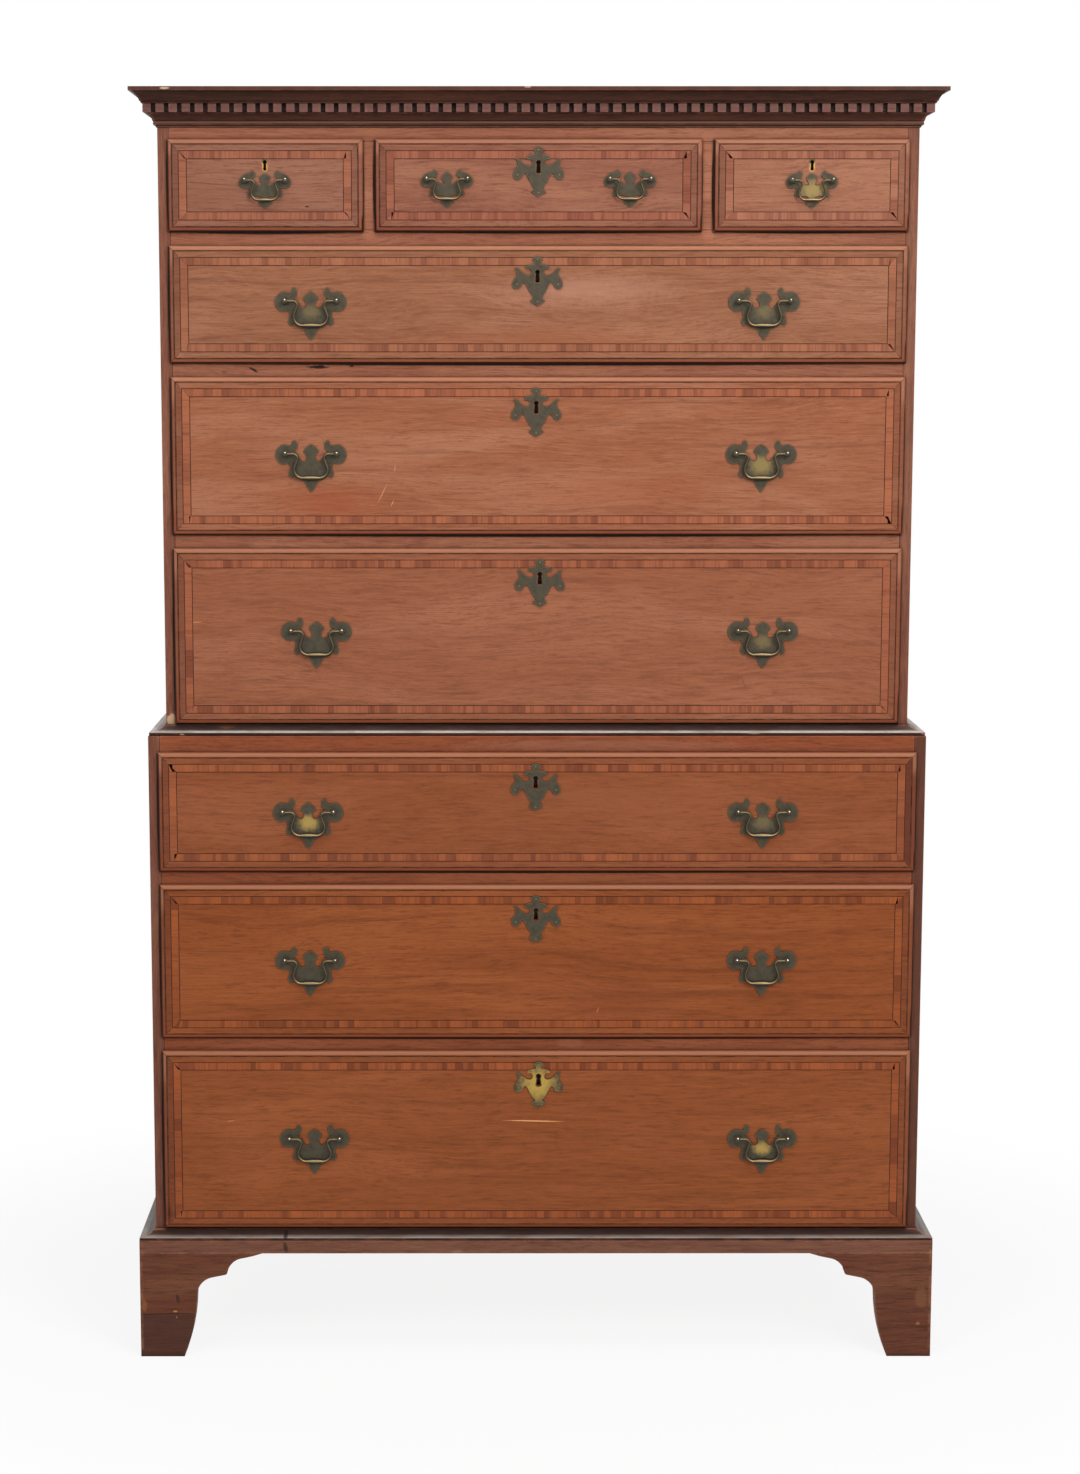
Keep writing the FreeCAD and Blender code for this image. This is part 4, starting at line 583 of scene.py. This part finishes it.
def band_side(bm, length, leaf, turn, push, dice, tone, lay):
    """One side of the band: a row of veneers with mitred ends, turned and pushed out to its place."""
    count = max(4, round(length / leaf))
    made = bmesh.ops.create_grid(bm, x_segments=count, y_segments=1, size=0.5)["verts"]
    cuts = [-length / 2] + sorted((k + dice.uniform(-0.36, 0.36)) * length / count - length / 2
                                  for k in range(1, count)) + [length / 2]
    faces = {f for v in made for f in v.link_faces}
    for v in made:
        column = round((v.co.x + 0.5) * count)
        inner = v.co.y < 0
        mitre = (BAND_WIDTH if column == 0 else -BAND_WIDTH if column == count else 0.0) if inner else 0.0
        v.co.x = cuts[column] + mitre
        v.co.y = -BAND_WIDTH if inner else 0.0
    value = 0.5
    for face in sorted(faces, key=lambda f: f.calc_center_median().x):
        value = dice.uniform(0.0, 0.35) if dice.random() < 0.28 else 0.3 * value + dice.uniform(0.35, 0.7)
        face[tone] = value
        for loop in face.loops:
            loop[lay].uv = (loop.vert.co.x, loop.vert.co.y)
    matrix = Matrix.Rotation(math.radians(turn), 4, "Z") @ Matrix.Translation((0.0, push, 0.0))
    bmesh.ops.transform(bm, matrix=matrix, verts=made)


def band_finish(name, pale, deep, seed):
    """Veneer leaves with their grain across the band, read along and across it from its own map."""
    timber = Timber(name, pale, deep, (92, 46, 32), "X", seed, 0.6, 0.6, 0.38)
    tree = timber.tree
    run = put(tree, "UVMap", uv_map="run").outputs[0]
    across = put(tree, "Mapping", {"Vector": run, "Rotation": (0.0, 0.0, math.pi / 2),
                                   "Location": (seed, seed * 0.3, 0.0)}).outputs[0]
    tone = put(tree, "Attribute", attribute_name="tone").outputs["Fac"]
    lines = cloudy(tree, across, (20.0, 420.0, 1.0), 3.0, 0.6)
    broad = cloudy(tree, across, (8.0, 120.0, 1.0), 2.0, 0.5)
    colour = stain(tree, tone, shade(*deep), shade(*pale))
    colour = stain(tree, ease(tree, lines, 0.5, 0.72, 0.0, 0.5), colour, shade(90, 46, 34))
    timber.colour = stain(tree, ease(tree, broad, 0.5, 0.7, 0.0, 0.45), colour, shade(112, 62, 46))
    return timber.done(dirt_and_shade=(44, 27, 22), worn=(190, 126, 88), dirt_and_shade_by=0.8, worn_by=0.0, bump=0.15, crevice=0.008)


stringing = Timber("stringing_dark", (66, 38, 28), (54, 29, 22), (30, 17, 14), "X", 91.0, 0.6, 0.5, 0.42)
broken = cloudy(stringing.tree, stringing.where, (40.0, 40.0, 40.0), 3.0, 0.6)
stringing.colour = stain(stringing.tree, ease(stringing.tree, broken, 0.56, 0.70, 0.0, 0.6), stringing.colour,
                         shade(108, 64, 46))
stringing_material = stringing.done(worn_by=0.0, bump=0.1)

dice = random.Random(1780)
for drawer, pale, deep in (
        ("top_left_drawer", (157, 97, 72), (128, 76, 57)), ("top_middle_drawer", (156, 95, 73), (128, 74, 56)),
        ("top_right_drawer", (161, 105, 80), (137, 83, 63)), ("upper_1_drawer", (161, 102, 74), (129, 77, 55)),
        ("upper_2_drawer", (168, 100, 70), (129, 73, 51)), ("upper_3_drawer", (163, 96, 67), (124, 69, 48)),
        ("lower_1_drawer", (160, 91, 56), (118, 63, 41)), ("lower_2_drawer", (157, 84, 44), (114, 58, 31)),
        ("lower_3_drawer", (163, 87, 48), (116, 59, 35))):
    low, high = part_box(drawer + "_front")
    half_x, half_z = (high.x - low.x) / 2 - BAND_IN, (high.z - low.z) / 2 - BAND_IN
    bm = bmesh.new()
    tone = bm.faces.layers.float.new("tone")
    lay = bm.loops.layers.uv.new("run")
    for turn, length, push in ((0, half_x, half_z), (180, half_x, half_z),
                               (90, half_z, half_x), (270, half_z, half_x)):
        band_side(bm, 2 * length, 0.0075 if push == half_z else 0.026, turn, push, dice, tone, lay)
    bmesh.ops.remove_doubles(bm, verts=bm.verts, dist=0.00001)
    inlay(drawer + "_crossband", drawer, bm,
          band_finish(drawer + "_crossband_veneer", pale, deep, dice.uniform(0, 9)))
    bm = bmesh.new()
    string_frame(bm, half_x + STRING_WIDTH, half_z + STRING_WIDTH)
    string_frame(bm, half_x - BAND_WIDTH, half_z - BAND_WIDTH)
    inlay(drawer + "_stringing", drawer, bm, stringing_material)

# ---- Drawer boxes --------------------------------------------------------------------------------
# Oak linings dovetailed front and back, planed thin and left unpolished; the bottoms run in grooves.
# Two centuries of air have browned them, least where the fronts shut tight.

lining = Timber("drawer_oak", (172, 134, 92), (150, 112, 74), (106, 74, 48), "board", 95.5, 1.0, 1.3, 0.62)
lining_material = lining.done(dirt_and_shade=(60, 44, 32), worn=(196, 160, 118), bump=0.5)

# ---- Handles and escutcheons ---------------------------------------------------------------------
# Cast brass: shaped plates with a square edge, ball-headed posts, swan-neck bails turned thick in
# the middle, pierced escutcheons held by four pins, and thread escutcheons let into the wood.
# The lacquer and years of polish have gone olive-brown, and handling keeps a few places bright.


class Brass:
    """A toned brass finish in the making, with rubbed places added by position."""

    def __init__(self, name, tone=(74, 67, 53), bright=(150, 128, 90)):
        self.material = bpy.data.materials.new(name)
        self.material.use_nodes = True
        self.tree = self.material.node_tree
        self.shader = self.tree.nodes["Principled BSDF"]
        self.shader.inputs["Specular IOR Level"].default_value = 0.3
        place = put(self.tree, "TexCoord").outputs
        self.where, self.facing = place["Object"], place["Normal"]
        self.depth = put(self.tree, "SeparateXYZ", {0: self.where}).outputs[1]
        self.bright = bright
        self.mottle = cloudy(self.tree, self.where, (120.0, 120.0, 120.0), 4.0, 0.65)
        self.colour = stain(self.tree, ease(self.tree, self.mottle, 0.4, 0.7, 0.0, 0.55), shade(*tone),
                            shade(50, 45, 33))
        self.lightened = None

    def lit_facing(self, start, end):
        """Where the metal faces forward and up, toward the lamps, for painted highlights."""
        turned = put(self.tree, "VectorMath", {0: self.facing, 1: (0.12, -0.80, 0.59)}, operation="DOT_PRODUCT")
        return ease(self.tree, turned.outputs["Value"], start, end)

    def brighten(self, amount, colour=None):
        """Brightens by an amount that changes over the surface."""
        self.colour = stain(self.tree, amount, self.colour, shade(*(colour or self.bright)))
        self.lightened = amount if self.lightened is None else calc(self.tree, "MAXIMUM", self.lightened, amount)

    def spot(self, x, z, half_x, half_z, amount, colour=None, soft=0.8, ragged=0.35):
        """Brightens one place in front of the lock, in metres."""
        spot = put(self.tree, "Group", {"Vector": self.where, "Middle": (x, 0.0, z), "Half": (half_x, 1.0, half_z),
                                        "Soft": soft, "Ragged": ragged}, node_tree=blemish)
        proud = ease(self.tree, self.depth, self.face + 0.003, self.face + 0.002)
        self.brighten(calc(self.tree, "MULTIPLY", calc(self.tree, "MULTIPLY", spot.outputs["Spot"], proud), amount),
                 colour)

    def done(self, arris_by=0.55):
        """Adds arrises lightened by wear and painted highlight, hollows darkened by patina and painted shade,
        roughness and relief, and gives back the material.
        """
        tree = self.tree
        hollow_shade = put(tree, "AmbientOcclusion", {"Distance": 0.004}, samples=8).outputs["AO"]
        arris = put(tree, "AmbientOcclusion", {"Distance": 0.0016}, samples=8, inside=True).outputs["AO"]
        # Painted highlight with wear: the arrises are lightened.
        self.brighten(calc(tree, "MULTIPLY", ease(tree, arris, 0.75, 0.3), arris_by))
        # Painted shade with patina: hollows and the metal beside other parts go near black.
        colour = stain(tree, ease(tree, hollow_shade, 0.92, 0.4, 0.0, 0.92), self.colour, shade(18, 15, 11))
        tree.links.new(colour, self.shader.inputs["Base Color"])
        tree.links.new(ease(tree, self.lightened, 0.0, 1.0, 0.35, 0.95), self.shader.inputs["Metallic"])
        tree.links.new(calc(tree, "SUBTRACT", ease(tree, self.mottle, 0.3, 0.7, 0.50, 0.62),
                            calc(tree, "MULTIPLY", self.lightened, 0.16)), self.shader.inputs["Roughness"])
        dents = calc(tree, "ADD", self.mottle, cloudy(tree, self.where, (420.0, 420.0, 420.0), 2.0))
        tree.links.new(put(tree, "Bump", {"Height": dents, "Strength": 0.25, "Distance": 0.0004}).outputs[0],
                       self.shader.inputs["Normal"])
        return self.material


def bail_finish(bail, arms=0.5, grip=0.8):
    """A bail is dark, standing also for the shade behind it, with a painted highlight along its front that is
    brightest at the grip, where the hand rubs it.
    """
    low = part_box(bail)[0]
    brass = Brass(bail + "_brass", (52, 44, 32), (152, 130, 94))
    level = put(brass.tree, "SeparateXYZ", {0: brass.where}).outputs[2]
    # Painted highlight with wear along the bail's front.
    brass.brighten(calc(brass.tree, "MULTIPLY", brass.lit_facing(0.55, 0.96),
                   ease(brass.tree, level, low.z + 0.014, low.z + 0.004, arms, grip)))
    finish(bail, brass.done(0.0))


GOLD = (182, 152, 84)
DULL_GOLD = (150, 128, 80)
brasses = {
    "top_left_drawer": [(-0.3838, 1.7235, 0.008, 0.012, 0.95, (206, 152, 86))],
    "top_middle_drawer": [],
    "top_right_drawer": [(0.3838, 1.7235, 0.008, 0.012, 0.95, (206, 152, 86)),
                         (0.384, 1.690, 0.026, 0.022, 0.75, DULL_GOLD)],
    "upper_1_drawer": [(-0.321, 1.522, 0.018, 0.014, 0.30, DULL_GOLD),
                       (0.319, 1.522, 0.018, 0.014, 0.30, DULL_GOLD)],
    "upper_2_drawer": [(0.318, 1.306, 0.024, 0.020, 0.75, DULL_GOLD)],
    "upper_3_drawer": [(0.3235, 1.054, 0.018, 0.014, 0.40, DULL_GOLD)],
    "lower_1_drawer": [(-0.329, 0.795, 0.020, 0.016, 0.80, GOLD), (0.325, 0.795, 0.018, 0.014, 0.35, DULL_GOLD)],
    "lower_2_drawer": [],
    "lower_3_drawer": [(0.330, 0.312, 0.018, 0.014, 0.80, GOLD),
                       (0.003, 0.409, 0.036, 0.036, 0.9, (186, 154, 78))],
}
for drawer, rubbed_places in brasses.items():
    brass = Brass(drawer + "_toned_brass")
    brass.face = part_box(drawer + "_front")[0].y
    for place in rubbed_places:
        brass.spot(*place)
    # Painted glint: a small bright spot on each post's ball head, where it faces the lamps.
    post_ball_glint = ease(brass.tree, brass.depth, brass.face - 0.0095, brass.face - 0.0115)
    brass.brighten(calc(brass.tree, "MULTIPLY", post_ball_glint, brass.lit_facing(0.955, 0.995)), (214, 202, 172))
    finish(drawer + "_brasses", brass.done(0.4))
    finish(drawer + "_box", lining_material)
    for bail in [name for name in nodes if name.startswith(drawer) and name.endswith("bail")]:
        bail_finish(bail)

# ---- Studio --------------------------------------------------------------------------------------
# A pale floor that runs out to white, two large soft lamps in front, one above, and the camera.

floor_sheet = bmesh.new()
bmesh.ops.create_grid(floor_sheet, x_segments=1, y_segments=1, size=9.0)
floor_mesh = bpy.data.meshes.new("studio_floor")
floor_sheet.to_mesh(floor_mesh)
floor_sheet.free()
floor = bpy.data.objects.new("studio_floor", floor_mesh)
bpy.context.scene.collection.objects.link(floor)
floor_paint = bpy.data.materials.new("floor_paint")
floor_paint.use_nodes = True
tree = floor_paint.node_tree
paint = tree.nodes["Principled BSDF"]
where = put(tree, "TexCoord").outputs["Object"]
paint.inputs["Roughness"].default_value = 0.9
paint.inputs["Base Color"].default_value = (0.86, 0.86, 0.86, 1.0)
seen = put(tree, "LightPath").outputs
flat = put(tree, "VectorMath", {0: where, 1: (0.85, 1.0, 0.0)}, operation="MULTIPLY").outputs[0]
far = put(tree, "VectorMath", {0: flat}, operation="LENGTH").outputs["Value"]
white_by = calc(tree, "MULTIPLY", calc(tree, "MAXIMUM", seen["Is Camera Ray"], seen["Is Glossy Ray"]),
                ease(tree, far, 0.55, 1.25, 0.88, 1.0))
glow = put(tree, "Emission", {"Color": (1.0, 1.0, 1.0, 1.0), "Strength": 1.0}).outputs[0]
mixed = put(tree, "MixShader", {0: white_by, 1: paint.outputs[0], 2: glow}).outputs[0]
tree.links.new(mixed, tree.nodes["Material Output"].inputs["Surface"])
floor_mesh.materials.append(floor_paint)

world = bpy.data.worlds.new("studio")
bpy.context.scene.world = world
world.use_nodes = True
tree = world.node_tree
seen = put(tree, "LightPath").outputs
clear = calc(tree, "MAXIMUM", calc(tree, "MAXIMUM", seen["Is Camera Ray"], seen["Is Glossy Ray"]),
             seen["Is Transmission Ray"])
tree.links.new(ease(tree, clear, 0.0, 1.0, 0.30, 1.0), tree.nodes["Background"].inputs["Strength"])
tree.nodes["Background"].inputs["Color"].default_value = (1.0, 1.0, 1.0, 1.0)


def softbox(name, place, target, size_x, size_y, power):
    """A large even lamp turned to face a point."""
    lamp = bpy.data.lights.new(name, "AREA")
    lamp.shape = "RECTANGLE"
    lamp.size, lamp.size_y, lamp.energy = size_x, size_y, power
    holder = bpy.data.objects.new(name, lamp)
    holder.location = place
    holder.rotation_euler = (Vector(target) - Vector(place)).to_track_quat("-Z", "Y").to_euler()
    bpy.context.scene.collection.objects.link(holder)


softbox("key_right", (2.0, -3.4, 3.2), (0.0, -0.2, 0.9), 1.6, 1.2, 92.0)
softbox("fill_left", (-2.6, -3.8, 2.6), (0.0, -0.2, 0.8), 1.8, 1.4, 38.0)
softbox("overhead", (0.0, -1.3, 3.6), (0.0, -0.2, 0.6), 2.4, 1.0, 38.0)

camera = bpy.data.cameras.new("camera")
camera.lens = 67.78
camera.sensor_width = 36.0
camera.sensor_fit = "AUTO"
camera.shift_x = 0.04104
viewer = bpy.data.objects.new("camera", camera)
viewer.location = (-0.0871, -4.2041, 1.4608)
viewer.rotation_euler = Euler((math.radians(90 - 7.828), 0.0, math.radians(-0.063)))
bpy.context.scene.collection.objects.link(viewer)
bpy.context.scene.camera = viewer
bpy.context.scene.view_settings.view_transform = "Standard"
